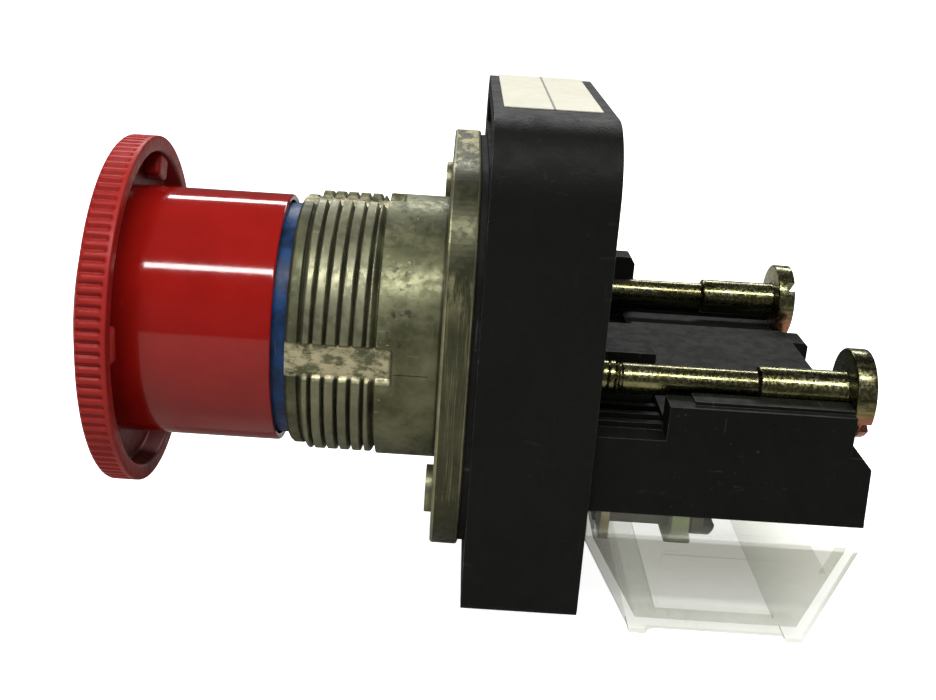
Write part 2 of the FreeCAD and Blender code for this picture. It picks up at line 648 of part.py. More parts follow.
def make_detent_collar():
    """Grooved collar on the shaft that the detent balls ride on."""
    body = new_body("detent_collar")
    groove = dim.detent_front + dim.button_travel - (dim.detent_front - dim.ball_ring_y)
    depth = dim.ball_radius * 0.8
    turn(body, [(dim.shaft_radius, dim.detent_front), (dim.detent_radius - 1.0, dim.detent_front),
                (dim.detent_radius, dim.detent_front + 1.0), (dim.detent_radius, groove - depth),
                (dim.detent_radius - depth, groove), (dim.detent_radius, groove + depth),
                (dim.detent_radius, dim.detent_rear), (dim.shaft_radius, dim.detent_rear)])
    return body


def make_actuator_plate():
    """Disc on the shaft's rear end that works both plungers."""
    body = new_body("actuator_plate")
    turn(body, [(ZERO, dim.plate_front), (dim.plate_radius, dim.plate_front),
                (dim.plate_radius, dim.shaft_rear), (ZERO, dim.shaft_rear)])
    return body


def make_ball_cage():
    """Ring that holds the detent balls in three radial holes."""
    body = new_body("ball_cage")
    ring(body, dim.cage_bore, dim.rear_bore, dim.cage_front, dim.cage_rear)
    hole = cross_sketch(body, dim.cage_front)
    pocket = dim.ball_radius + 0.1
    add_box(hole, dim.cage_bore - 0.5, dim.ball_circle + dim.ball_radius + 1.2, -pocket, pocket)
    cut = extrude(body, hole, dim.ball_ring_y + pocket - dim.cage_front, "Pocket")
    repeat_round(body, cut, 3)
    inner = dim.ball_circle + dim.ball_radius - 0.15
    half = dim.garter_radius + 0.15
    turn(body, [(inner, dim.ball_ring_y - half), (dim.rear_bore + 0.2, dim.ball_ring_y - half),
                (dim.rear_bore + 0.2, dim.ball_ring_y + half), (inner, dim.ball_ring_y + half)],
         "Groove")
    return body


def make_detent_balls():
    """Three steel balls, as one node."""
    body = new_body("detent_balls")
    for angle in (0.0, 120.0, 240.0):
        ball = body.newObject("PartDesign::AdditiveSphere", "ball")
        bind(ball, "Radius", dim.ball_radius)
        bind(ball, "Placement.Base.x", dim.ball_circle * math.cos(math.radians(angle)))
        bind(ball, "Placement.Base.y", dim.ball_ring_y)
        bind(ball, "Placement.Base.z", -dim.ball_circle * math.sin(math.radians(angle)))
        doc.recompute()
    return body


def make_garter_spring():
    """Ring spring that presses the balls inwards."""
    body = new_body("garter_spring")
    sketch = new_sketch(body, "XY_Plane")
    add_circle(sketch, dim.garter_radius, dim.ball_circle + dim.ball_radius + dim.garter_radius + 0.02,
               dim.ball_ring_y)
    feature = body.newObject("PartDesign::Revolution", "garter_ring")
    feature.Profile = sketch
    feature.ReferenceAxis = (sketch, ["V_Axis"])
    feature.Angle = 360
    doc.recompute()
    return body


# ---- contact block -----------------------------------------------------------------------------

def make_contact_block_housing():
    """Block housing: floor with two walls, front step, rear lip, two tabs and two chambers."""
    body = new_body("contact_block_housing")
    half = dim.block_half_width
    floor = [(dim.base_rear, -dim.block_bottom), (dim.lip_rear, -dim.block_bottom),
             (dim.lip_rear - 0.3, dim.lip_top - dim.lip_chamfer), (dim.lip_front, dim.lip_top),
             (dim.block_rear, dim.lip_top), (dim.block_rear, dim.block_top),
             (dim.front_step_rear, dim.block_top), (dim.front_step_rear, dim.front_step_top),
             (dim.base_rear, dim.front_step_top)]
    side_pad(body, floor, -half, half)
    wall_top = ((half - dim.block_wall, half, dim.near_wall_top),
                (-half, -(half - dim.block_wall), dim.far_wall_top))
    for low, high, top in wall_top:
        side_pad(body, [(dim.front_step_rear, dim.block_top - 0.5), (dim.block_rear, dim.block_top - 0.5),
                        (dim.block_rear, top), (dim.front_step_rear, top)], low, high)
    side_pad(body, [(dim.base_rear, dim.front_step_top - 0.5), (dim.tab_rear, dim.block_top - 0.5),
                    (dim.tab_rear, dim.tab_top - 0.9), (dim.tab_rear - 0.6, dim.tab_top),
                    (dim.base_rear, dim.tab_top)], -half, -(half - dim.block_wall))
    inset = half - dim.wall_lip_inset
    side_pad(body, [(dim.wall_lip_front, dim.near_wall_top - 0.2),
                    (dim.block_rear, dim.near_wall_top - 0.2),
                    (dim.block_rear, dim.near_wall_top + dim.wall_lip_height),
                    (dim.wall_lip_front, dim.near_wall_top + dim.wall_lip_height)],
             half - dim.block_wall, inset)
    for index in range(3):
        rib = dim.step_rib_x + dim.step_rib_pitch * index
        side_pad(body, [(dim.base_rear, dim.front_step_top - 0.2),
                        (dim.front_step_rear, dim.front_step_top - 0.2),
                        (dim.front_step_rear, dim.front_step_top + dim.step_rib_height),
                        (dim.base_rear, dim.front_step_top + dim.step_rib_height)],
                 rib, rib + dim.step_rib_width)
    tab_half = dim.near_tab_width / 2
    side_pad(body, [(dim.base_rear, dim.front_step_top - 0.5),
                    (dim.near_tab_rear, dim.front_step_top - 0.5),
                    (dim.near_tab_rear, dim.near_tab_top), (dim.base_rear, dim.near_tab_top)],
             dim.near_tab_x - tab_half, dim.near_tab_x + tab_half)
    cut_chambers(body)
    return body


def side_pad(body, corners, low, high):
    """Pads an outline of (y, z) corners from one X to another."""
    sketch = new_sketch(body, "YZ_Plane", low)
    add_outline(sketch, corners)
    return extrude(body, sketch, high - low, "Pad", True)


def cut_chambers(body):
    """Two chambers under the cover, plunger holes in front and blade slots in the floor."""
    bottom = -dim.chamber_bottom
    for sign in (1, -1):
        inner = dim.divider / 2
        low = inner if sign > 0 else -dim.chamber_half
        high = dim.chamber_half if sign > 0 else -inner
        chamber = cross_sketch(body, dim.chamber_front)
        add_box(chamber, low, high, bottom, Size.of(2.0))
        extrude(body, chamber, dim.chamber_rear - dim.chamber_front, "Pocket")
        hole = cross_sketch(body, dim.base_rear)
        reach_x = dim.plunger_width / 2 + 0.2
        reach_z = dim.plunger_height / 2 + 0.2
        x = sign * dim.plunger_x
        add_box(hole, x - reach_x, x + reach_x, dim.plunger_z - reach_z, dim.plunger_z + reach_z)
        extrude(body, hole, dim.chamber_front - dim.base_rear, "Pocket")
        front = dim.nc_plate_front if sign > 0 else dim.no_plate_front
        for is_inner in (True, False):
            slot = cross_sketch(body, front)
            add_outline(slot, plate_outline(sign, is_inner))
            extrude(body, slot, dim.plate_thickness, "Pocket")


def make_contact_block_cover():
    """Raised slab that closes the chambers between the two captive screws."""
    body = new_body("contact_block_cover")
    half = dim.cover_half
    corner = dim.cover_corner
    slab = new_sketch(body, "XY_Plane", dim.block_top)
    add_outline(slab, [(-half, dim.front_step_rear), (half, dim.front_step_rear),
                       (half, dim.cover_rear - corner), (half - corner, dim.cover_rear),
                       (-(half - corner), dim.cover_rear), (-half, dim.cover_rear - corner)])
    extrude(body, slab, dim.cover_top - dim.block_top, "Pad", True)
    nose = new_sketch(body, "XY_Plane", dim.front_step_top)
    add_outline(nose, [(-dim.chamber_half, dim.cover_front), (dim.chamber_half, dim.cover_front),
                       (dim.chamber_half, dim.front_step_rear), (-dim.chamber_half, dim.front_step_rear)])
    extrude(body, nose, dim.cover_top - dim.front_step_top, "Pad", True)
    tab_top = dim.cover_top - 0.15
    side_pad(body, [(dim.block_rear + 0.05, tab_top - dim.cover_tab_drop),
                    (dim.cover_tab_rear, tab_top - dim.cover_tab_drop),
                    (dim.cover_tab_rear, tab_top - 0.4), (dim.cover_tab_rear - 0.4, tab_top),
                    (dim.block_rear + 0.05, tab_top)], -half, -(half - dim.cover_tab_width))
    return body


def make_plunger(name, sign):
    """Square plunger that the actuator plate pushes."""
    body = new_body(name + "_plunger")
    sketch = cross_sketch(body, dim.shaft_rear)
    x = sign * dim.plunger_x
    half = dim.plunger_width / 2
    tall = dim.plunger_height / 2
    add_box(sketch, x - half, x + half, dim.plunger_z - tall, dim.plunger_z + tall)
    extrude(body, sketch, dim.plunger_rear - dim.shaft_rear)
    return body


def make_bridge(name, sign, front, faces_rear):
    """Moving bridge with two silver tips, fitted round its plunger."""
    body = new_body(name + "_bridge")
    x = sign * dim.plunger_x
    plate = cross_sketch(body, front)
    half = dim.bridge_width / 2
    stem = dim.plunger_width / 2
    low = dim.plunger_z - dim.plunger_height / 2
    high = dim.plunger_z + dim.plunger_height / 2
    add_box(plate, x - half, x + half, low - dim.bridge_rim, high + dim.bridge_rim)
    add_box(plate, x - stem, x + stem, low, high)
    extrude(body, plate, dim.bridge_thickness)
    y = front + dim.bridge_thickness if faces_rear else front
    tips = cross_sketch(body, y)
    for side in (-1, 1):
        add_circle(tips, dim.tip_radius, x + side * dim.tip_offset, dim.plunger_z)
    extrude(body, tips, dim.tip_height, "Pad", not faces_rear)
    return body


def plate_outline(sign, inner):
    """Corners (x, z) of a fixed contact plate: tip end in its chamber, pad under the block."""
    side = -1 if inner else 1
    x = dim.plunger_x + side * dim.tip_offset
    half = dim.tab_width / 2
    top = dim.plunger_z + dim.tab_height / 2
    shelf = -dim.block_bottom
    deep = shelf - dim.pad_depth
    pad = dim.inner_pad_x if inner else dim.outer_pad_x
    low = pad - dim.pad_width / 2
    high = pad + dim.pad_width / 2
    if inner:
        corners = [(x - half, top), (x + half, top), (x + half, shelf), (high, shelf), (high, deep),
                   (low, deep), (low, shelf - 1.2), (x - half, shelf - 1.2)]
    else:
        arm = dim.plunger_z - dim.tab_height / 2
        corners = [(x - half, top), (high, top), (high, deep), (low, deep), (low, arm),
                   (x - half, arm)]
    return [(sign * cx, cz) for cx, cz in corners]


def make_terminal_plate(label, sign, inner, front):
    """Fixed contact plate with a tapped hole in its pad."""
    body = new_body(label)
    blade = cross_sketch(body, front)
    add_outline(blade, plate_outline(sign, inner))
    extrude(body, blade, dim.plate_thickness)
    hole = cross_sketch(body, front)
    pad = dim.inner_pad_x if inner else dim.outer_pad_x
    add_circle(hole, dim.terminal_shank + dim.screw_hole_gap, sign * pad, dim.terminal_z)
    extrude(body, hole, dim.plate_thickness, "Pocket")
    return body


def add_fixed_tips(body, sign, inner, front, faces_front):
    """Silver tip on a terminal plate's blade."""
    side = -1 if inner else 1
    x = sign * (dim.plunger_x + side * dim.tip_offset)
    y = front if faces_front else front + dim.plate_thickness
    sketch = cross_sketch(body, y)
    add_circle(sketch, dim.tip_radius, x, dim.plunger_z)
    extrude(body, sketch, dim.tip_height - dim.tip_gap, "Pad", faces_front)


def terminals():
    """Name, side, whether inner, and plate position of each of the four terminals."""
    return [("nc_inner", 1, True, dim.nc_plate_front), ("nc_outer", 1, False, dim.nc_plate_front),
            ("no_inner", -1, True, dim.no_plate_front), ("no_outer", -1, False, dim.no_plate_front)]


def make_terminal(name, sign, inner, front):
    """One terminal: its plate, its screw and its saddle clamp."""
    plate = make_terminal_plate(name + "_terminal_plate", sign, inner, front)
    add_fixed_tips(plate, sign, inner, front, sign < 0)
    pad_x = sign * (dim.inner_pad_x if inner else dim.outer_pad_x)
    head_front = front + dim.terminal_reach
    screw = new_body(name + "_terminal_screw")
    tip = front - dim.terminal_tip
    turn(screw, [(ZERO, tip), (dim.terminal_shank, tip),
                 (dim.terminal_shank, head_front), (dim.terminal_head, head_front),
                 (dim.terminal_head, head_front + dim.terminal_head_height - 0.4),
                 (dim.terminal_head - 0.4, head_front + dim.terminal_head_height),
                 (ZERO, head_front + dim.terminal_head_height)])
    slot = cross_sketch(screw, head_front + dim.terminal_head_height)
    add_box(slot, -dim.terminal_head, dim.terminal_head, -dim.slot_width / 2, dim.slot_width / 2)
    extrude(screw, slot, dim.slot_depth * 1.3, "Pocket", True)
    place(screw, pad_x, ZERO, dim.terminal_z)
    saddle = new_body(name + "_saddle_clamp")
    y = head_front - dim.saddle_depth
    half = dim.saddle_width / 2
    tall = dim.saddle_height / 2
    waist = dim.saddle_wall
    side_pad(saddle, [(y, -tall), (head_front, -tall), (head_front - waist * 0.5, -tall * 0.4),
                      (head_front - waist * 0.5, tall * 0.4), (head_front, tall), (y, tall),
                      (y + waist, tall * 0.4), (y + waist, -tall * 0.4)],
             -half, half)
    hole = cross_sketch(saddle, y)
    add_circle(hole, dim.terminal_shank + 0.1)
    extrude(saddle, hole, dim.saddle_depth, "Pocket")
    place(saddle, pad_x, ZERO, dim.terminal_z)


def make_captive_screw(label, sign):
    """Long shoulder screw with a slotted cheese head, threaded at its front end."""
    body = new_body(label)
    head_rear = dim.block_rear + dim.captive_head_height
    root = dim.captive_thread_radius - dim.captive_thread_depth
    shank = dim.captive_shank_radius
    turn(body, [(ZERO, dim.captive_tip), (root - 0.4, dim.captive_tip), (root, dim.captive_tip + 0.4),
                (root, dim.captive_thread_rear), (shank, dim.captive_thread_rear + 0.3),
                (shank, dim.captive_shoulder), (dim.captive_thick_radius, dim.captive_shoulder + 0.2),
                (dim.captive_thick_radius, dim.block_rear), (dim.captive_head_radius, dim.block_rear),
                (dim.captive_head_radius, head_rear - 0.3), (dim.captive_head_radius - 0.3, head_rear),
                (ZERO, head_rear)])
    start = dim.captive_tip + 0.5
    flank = dim.captive_thread_pitch * 0.4
    crest = turn(body, [(root - 0.1, start), (root, start), (dim.captive_thread_radius, start + flank),
                        (root, start + flank * 2), (root - 0.1, start + flank * 2)])
    repeat_along(body, crest, "Y_Axis", dim.captive_thread_pitch, Size.of(10))
    slot = cross_sketch(body, head_rear)
    half = dim.captive_slot_width / 2
    reach = dim.captive_head_radius + 0.1
    add_box(slot, -half, half, -reach, reach)
    extrude(body, slot, dim.captive_head_height * 0.5, "Pocket", True)
    place(body, sign * dim.captive_x, ZERO, dim.captive_z)
    return body


def make_terminal_guard():
    """Clear tray under the terminals, open on top, with a driver window and a wire slot."""
    body = new_body("terminal_guard")
    half = dim.block_half_width
    wall = dim.guard_wall
    top = -dim.block_bottom
    outer = [(dim.guard_front, top), (dim.guard_rear, top), (dim.guard_rear, -dim.guard_shoulder),
             (dim.guard_foot_rear, -dim.guard_bottom), (dim.guard_foot_front, -dim.guard_bottom),
             (dim.guard_front, -dim.guard_front_shoulder)]
    side_pad(body, outer, -half, half)
    inner = [(dim.guard_front + wall, top), (dim.guard_rear - wall, top),
             (dim.guard_rear - wall, -dim.guard_shoulder),
             (dim.guard_foot_rear - wall * 0.9, -(dim.guard_bottom - wall)),
             (dim.guard_foot_front + wall * 0.8, -(dim.guard_bottom - wall)),
             (dim.guard_front + wall, -dim.guard_front_shoulder)]
    sketch = new_sketch(body, "YZ_Plane", half - wall)
    add_outline(sketch, inner)
    extrude(body, sketch, (half - wall) * 2, "Pocket")
    side = half - wall - dim.guard_side_margin
    window = cross_sketch(body, dim.guard_rear)
    add_box(window, -side, side, -dim.guard_window_bottom, top)
    extrude(body, window, wall * 2 + 2.0, "Pocket", True)
    slot = new_sketch(body, "XY_Plane", -dim.guard_bottom)
    add_box(slot, -side, side, dim.guard_slot_front, dim.guard_slot_rear)
    extrude(body, slot, wall, "Pocket", True)
    panel = [(dim.guard_panel_front, -(dim.guard_bottom + 1)),
             (dim.guard_panel_rear, -(dim.guard_bottom + 1)),
             (dim.guard_panel_rear, -(dim.guard_panel_top + 1.8)),
             (dim.guard_panel_rear - 1.8, -dim.guard_panel_top),
             (dim.guard_panel_front, -dim.guard_panel_top)]
    for side_x in (half, -(half - dim.guard_panel_depth)):
        recess = new_sketch(body, "YZ_Plane", side_x)
        add_outline(recess, panel)
        extrude(body, recess, dim.guard_panel_depth, "Pocket")
    for low in (dim.guard_foot_front, dim.guard_foot_rear - 2.0):
        for foot_x in (half - 3.0, -half):
            side_pad(body, [(low, -(dim.guard_bottom + dim.guard_foot)),
                            (low + 2.0, -(dim.guard_bottom + dim.guard_foot)),
                            (low + 2.0, -(dim.guard_bottom - 0.4)), (low, -(dim.guard_bottom - 0.4))],
                     foot_x, foot_x + 3.0)
    return body


def build_all():
    """Makes every piece, from the front to the rear."""
    make_mushroom_cap()
    make_cap_disc()
    make_button_skirt()
    make_cap_screw()
    make_twist_cam()
    coil("twist_spring", dim.twist_coil_radius, dim.spring_wire, -(dim.hub_rear - 0.1),
         -(dim.cam_rear - 0.6), 2)
    make_operating_shaft()
    make_spring_seat()
    make_detent_collar()
    make_actuator_plate()
    coil("release_spring", dim.release_coil_radius, dim.spring_wire, -dim.seat_rear,
         -dim.web_front, 5)
    make_cam_follower()
    make_guide_sleeve()
    make_wiper_seal()
    make_threaded_bushing()
    make_ball_cage()
    make_detent_balls()
    make_garter_spring()
    make_flange_screws()
    make_flange_gasket()
    make_base_housing()
    make_base_inserts()
    make_rating_label()
    make_contact_block_housing()
    make_contact_block_cover()
    make_plunger("nc", 1)
    make_plunger("no", -1)
    make_bridge("nc", 1, dim.nc_bridge_front, False)
    make_bridge("no", -1, dim.no_bridge_front, True)
    for name, sign in (("nc", 1), ("no", -1)):
        coil(name + "_return_spring", dim.contact_spring_radius, dim.spring_wire * 0.6,
             dim.plunger_rear, dim.chamber_rear, 7, sign * dim.plunger_x, dim.plunger_z)
    for terminal in terminals():
        make_terminal(*terminal)
    make_captive_screw("near_captive_screw", 1)
    make_captive_screw("far_captive_screw", -1)
    make_terminal_guard()


def write_parts():
    """Checks every object and every piece, then writes one STEP file for each piece."""
    doc.recompute()
    failed = [item.Label for item in doc.Objects if "Invalid" in item.State or "Error" in item.State]
    if failed:
        raise RuntimeError("failed objects: " + ", ".join(failed))
    os.makedirs("parts", exist_ok=True)
    for body in pieces:
        shape = body.Shape
        if shape.isNull() or not shape.isValid() or not shape.Solids:
            raise RuntimeError(body.Label + " has no valid solid")
        print("%-28s %2d solid(s) %9.2f mm3" % (body.Label, len(shape.Solids), shape.Volume))
        shape.exportStep(os.path.join("parts", body.Label + ".step"))


build_all()
write_parts()
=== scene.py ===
"""Visual model of a panel-mounted emergency stop button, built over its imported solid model."""
import json
import logging
import math
from dataclasses import dataclass
from enum import Enum

import bmesh
import bpy
from mathutils import Matrix, Vector


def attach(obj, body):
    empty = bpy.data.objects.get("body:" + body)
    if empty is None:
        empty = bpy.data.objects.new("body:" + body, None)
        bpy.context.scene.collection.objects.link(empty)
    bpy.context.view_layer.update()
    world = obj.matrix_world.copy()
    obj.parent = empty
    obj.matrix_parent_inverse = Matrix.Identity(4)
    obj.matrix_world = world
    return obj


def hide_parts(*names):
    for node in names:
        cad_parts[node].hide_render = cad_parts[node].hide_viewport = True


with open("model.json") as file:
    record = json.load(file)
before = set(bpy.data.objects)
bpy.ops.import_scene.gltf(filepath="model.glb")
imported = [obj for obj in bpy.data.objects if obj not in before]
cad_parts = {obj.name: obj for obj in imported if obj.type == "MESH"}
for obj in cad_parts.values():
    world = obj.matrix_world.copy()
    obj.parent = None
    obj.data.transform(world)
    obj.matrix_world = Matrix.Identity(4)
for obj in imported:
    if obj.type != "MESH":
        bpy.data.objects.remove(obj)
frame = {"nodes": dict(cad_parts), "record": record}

MM = 0.001
SHARP_ANGLE = 38.0
FLAT_ANGLE = 0.6
EDGE_SHARE = 0.45
POLE_RADIUS = 1e-6
MERGE_DISTANCE = 1e-6
LOG = logging.getLogger("stop_button")
Point = tuple[float, float]
Colour = tuple[float, float, float]
Node = bpy.types.Node
Socket = bpy.types.NodeSocket


# ---- graphs ------------------------------------------------------------------------------------

class Graph:
    """Adds and links the nodes of one node tree."""

    def __init__(self, tree: bpy.types.NodeTree) -> None:
        """Keeps the tree.

        Args:
            tree: the shader or geometry tree that the nodes go in.
        """
        self.tree = tree

    def add(self, kind: str, inputs: dict | None = None, **settings: object) -> Node:
        """Adds one node.

        Args:
            kind: the node's type name.
            inputs: socket name or number to a value, or to an output socket that feeds it.
            settings: properties of the node itself.

        Returns:
            The new node.
        """
        node = self.tree.nodes.new(kind)
        for key, value in settings.items():
            setattr(node, key, value)
        for key, value in (inputs or {}).items():
            if isinstance(value, Socket):
                self.link(value, node, key)
            else:
                node.inputs[key].default_value = value
        return node

    def link(self, output: Socket, node: Node, key: object) -> None:
        """Feeds an output to one input of a node."""
        self.tree.links.new(output, node.inputs[key])

    def calc(self, operation: str, *values: object, clamp: bool = False) -> Socket:
        """Adds a Math node and returns its output."""
        inputs = dict(enumerate(values))
        return self.add("ShaderNodeMath", inputs, operation=operation, use_clamp=clamp).outputs[0]

    def times(self, product: object, *factors: object) -> Socket:
        """Multiplies values by a chain of Math nodes.

        Args:
            product: the first factor.
            factors: the others, in order.

        Returns:
            The product.
        """
        for factor in factors:
            product = self.calc("MULTIPLY", product, factor)
        return product

    def radius(self, x: Socket, z: Socket) -> Socket:
        """The distance from the Y axis."""
        return self.calc("SQRT", self.calc("ADD", self.times(x, x), self.times(z, z)))

    def reach(self, choice: str, x: Socket, z: Socket) -> Socket:
        """The MINIMUM or MAXIMUM of how far x and z lie from zero."""
        return self.calc(choice, self.calc("ABSOLUTE", x), self.calc("ABSOLUTE", z))

    def remap(self, value: object, low: object, high: object, new_low: object = 0.0,
              new_high: object = 1.0, smooth: bool = True) -> Socket:
        """Adds a clamped Map Range node.

        Args:
            value: what is mapped.
            low: the value that becomes new_low.
            high: the value that becomes new_high.
            new_low: result at low and beyond.
            new_high: result at high and beyond.
            smooth: whether the change eases in and out.

        Returns:
            The mapped value.
        """
        kind = "SMOOTHSTEP" if smooth else "LINEAR"
        node = self.add("ShaderNodeMapRange", {0: value, 1: low, 2: high, 3: new_low, 4: new_high},
                        interpolation_type=kind)
        return node.outputs[0]

    def step(self, value: object, start: float, end: float) -> Socket:
        """A smooth step from 0 to 1 between two lengths in millimetres."""
        return self.remap(value, start * MM, end * MM)

    def blend(self, factor: object, first: object, second: object) -> Socket:
        """Adds a colour Mix node.

        Args:
            factor: the second colour's share.
            first: a colour or a socket.
            second: a colour or a socket.

        Returns:
            The mixed colour.
        """
        node = self.add("ShaderNodeMix", data_type="RGBA")
        for index, value in ((0, factor), (6, first), (7, second)):
            if isinstance(value, Socket):
                self.link(value, node, index)
            elif index:
                node.inputs[index].default_value = (*value, 1.0)
            else:
                node.inputs[index].default_value = value
        return node.outputs[2]

    def noise(self, vector: object, scale: object, detail: float = 4.0, roughness: float = 0.55) -> Socket:
        """Adds a Noise Texture.

        Args:
            vector: the place that it is read at.
            scale: how fine it is.
            detail: how many finer layers it has.
            roughness: how strong those are.

        Returns:
            Its value.
        """
        node = self.add("ShaderNodeTexNoise", {"Vector": vector, "Scale": scale, "Detail": detail,
                                               "Roughness": roughness})
        return node.outputs[0]

    def stretched(self, vector: object, scale: tuple, detail: float, roughness: float) -> Socket:
        """Noise with its own scale along each axis."""
        place = self.add("ShaderNodeMapping", {"Vector": vector, "Scale": scale}).outputs[0]
        return self.noise(place, 1.0, detail, roughness)


def new_tree(name: str, kind: str, inputs: list, outputs: list) -> tuple[Graph, dict, Node]:
    """Starts a node group with named sockets.

    Args:
        name: the group's name.
        kind: ShaderNodeTree or GeometryNodeTree.
        inputs: (label, socket type, default or None) for each input.
        outputs: (label, socket type) for each output.

    Returns:
        Its graph, its inputs by label, and its output node.
    """
    tree = bpy.data.node_groups.new(name, kind)
    for label, socket_kind, value in inputs:
        socket = tree.interface.new_socket(label, in_out="INPUT", socket_type=socket_kind)
        if value is not None:
            socket.default_value = value
    for label, socket_kind in outputs:
        tree.interface.new_socket(label, in_out="OUTPUT", socket_type=socket_kind)
    graph = Graph(tree)
    start = graph.add("NodeGroupInput")
    end = graph.add("NodeGroupOutput")
    return graph, {label: start.outputs[label] for label, _, _ in inputs}, end


FLOAT = "NodeSocketFloat"
VECTOR = "NodeSocketVector"
GEOMETRY = "NodeSocketGeometry"


class Effects:
    """The shader node groups that several finishes share."""

    def __init__(self) -> None:
        """Builds each group once."""
        self.grain = self.build_grain()
        self.scuffs = self.build_scuffs()
        self.blotches = self.build_blotches()

    @staticmethod
    def build_grain() -> bpy.types.NodeTree:
        """Fine moulded or cast grain.

        Returns:
            A group that gives a tone mask and a height.
        """
        graph, given, end = new_tree("surface_grain", "ShaderNodeTree",
                                     [("Vector", VECTOR, None), ("Scale", FLOAT, 2500.0)],
                                     [("Tone", FLOAT), ("Height", FLOAT)])
        fine = graph.noise(given["Vector"], given["Scale"], 3.0, 0.6)
        coarse = graph.noise(given["Vector"], graph.times(given["Scale"], 0.21), 3.0, 0.5)
        graph.link(graph.remap(coarse, 0.3, 0.7), end, "Tone")
        graph.link(graph.calc("ADD", graph.times(fine, 0.65), graph.times(coarse, 0.35)), end, "Height")
        return graph.tree

    @staticmethod
    def build_scuffs() -> bpy.types.NodeTree:
        """Thin scratches in three directions and small nicks.

        Returns:
            A group that gives one mask.
        """
        graph, given, end = new_tree("scuffs", "ShaderNodeTree",
                                     [("Vector", VECTOR, None), ("Amount", FLOAT, 0.3)],
                                     [("Mask", FLOAT)])
        lines = []
        for turn, scale in ((0.5, (180.0, 2600.0, 2600.0)), (-0.9, (2600.0, 240.0, 900.0)),
                            (1.7, (900.0, 2600.0, 200.0))):
            bent = graph.add("ShaderNodeMapping", {"Vector": given["Vector"], "Scale": scale,
                                                   "Rotation": (turn, turn * 0.6, turn * 1.3)}).outputs[0]
            lines.append(graph.remap(graph.noise(bent, 1.0, 2.0, 0.5), 0.68, 0.74))
        patch = graph.remap(graph.noise(given["Vector"], 160.0, 3.0, 0.6), 0.45, 0.7)
        both = graph.calc("MAXIMUM", graph.calc("MAXIMUM", lines[0], lines[1]), lines[2])
        nicks = graph.remap(graph.noise(given["Vector"], 1400.0, 2.0, 0.5), 0.70, 0.76)
        mask = graph.times(graph.calc("MAXIMUM", both, nicks), patch)
        graph.link(graph.calc("MULTIPLY", mask, given["Amount"], clamp=True), end, "Mask")
        return graph.tree

    @staticmethod
    def build_blotches() -> bpy.types.NodeTree:
        """Patches of tone for stained or smudged surfaces.

        Returns:
            A group that gives a mask of large patches and one of small ones.
        """
        graph, given, end = new_tree("blotches", "ShaderNodeTree",
                                     [("Vector", VECTOR, None), ("Scale", FLOAT, 150.0)],
                                     [("Mask", FLOAT), ("Fine", FLOAT)])
        large = graph.noise(given["Vector"], given["Scale"], 6.0, 0.62)
        fine = graph.noise(given["Vector"], graph.times(given["Scale"], 6.3), 4.0, 0.6)
        graph.link(graph.remap(large, 0.35, 0.68), end, "Mask")
        graph.link(graph.remap(fine, 0.38, 0.66), end, "Fine")
        return graph.tree


# ---- finishes ----------------------------------------------------------------------------------

class Gloss(Enum):
    """How shiny a finish is, as the roughness of its surface."""

    POLISHED = 0.08
    MIRROR = 0.14
    GLOSS = 0.2
    SATIN = 0.36
    DULL = 0.5
    MATT = 0.62


@dataclass
class Layers:
    """A material's graph, its object coordinates and the sockets meant for its shader."""

    graph: Graph
    place: Socket
    colour: Socket
    rough: Socket
    height: Socket

    def paint(self, share: object, colour: Colour) -> None:
        """Covers the colour so far with another."""
        self.colour = self.graph.blend(share, self.colour, colour)


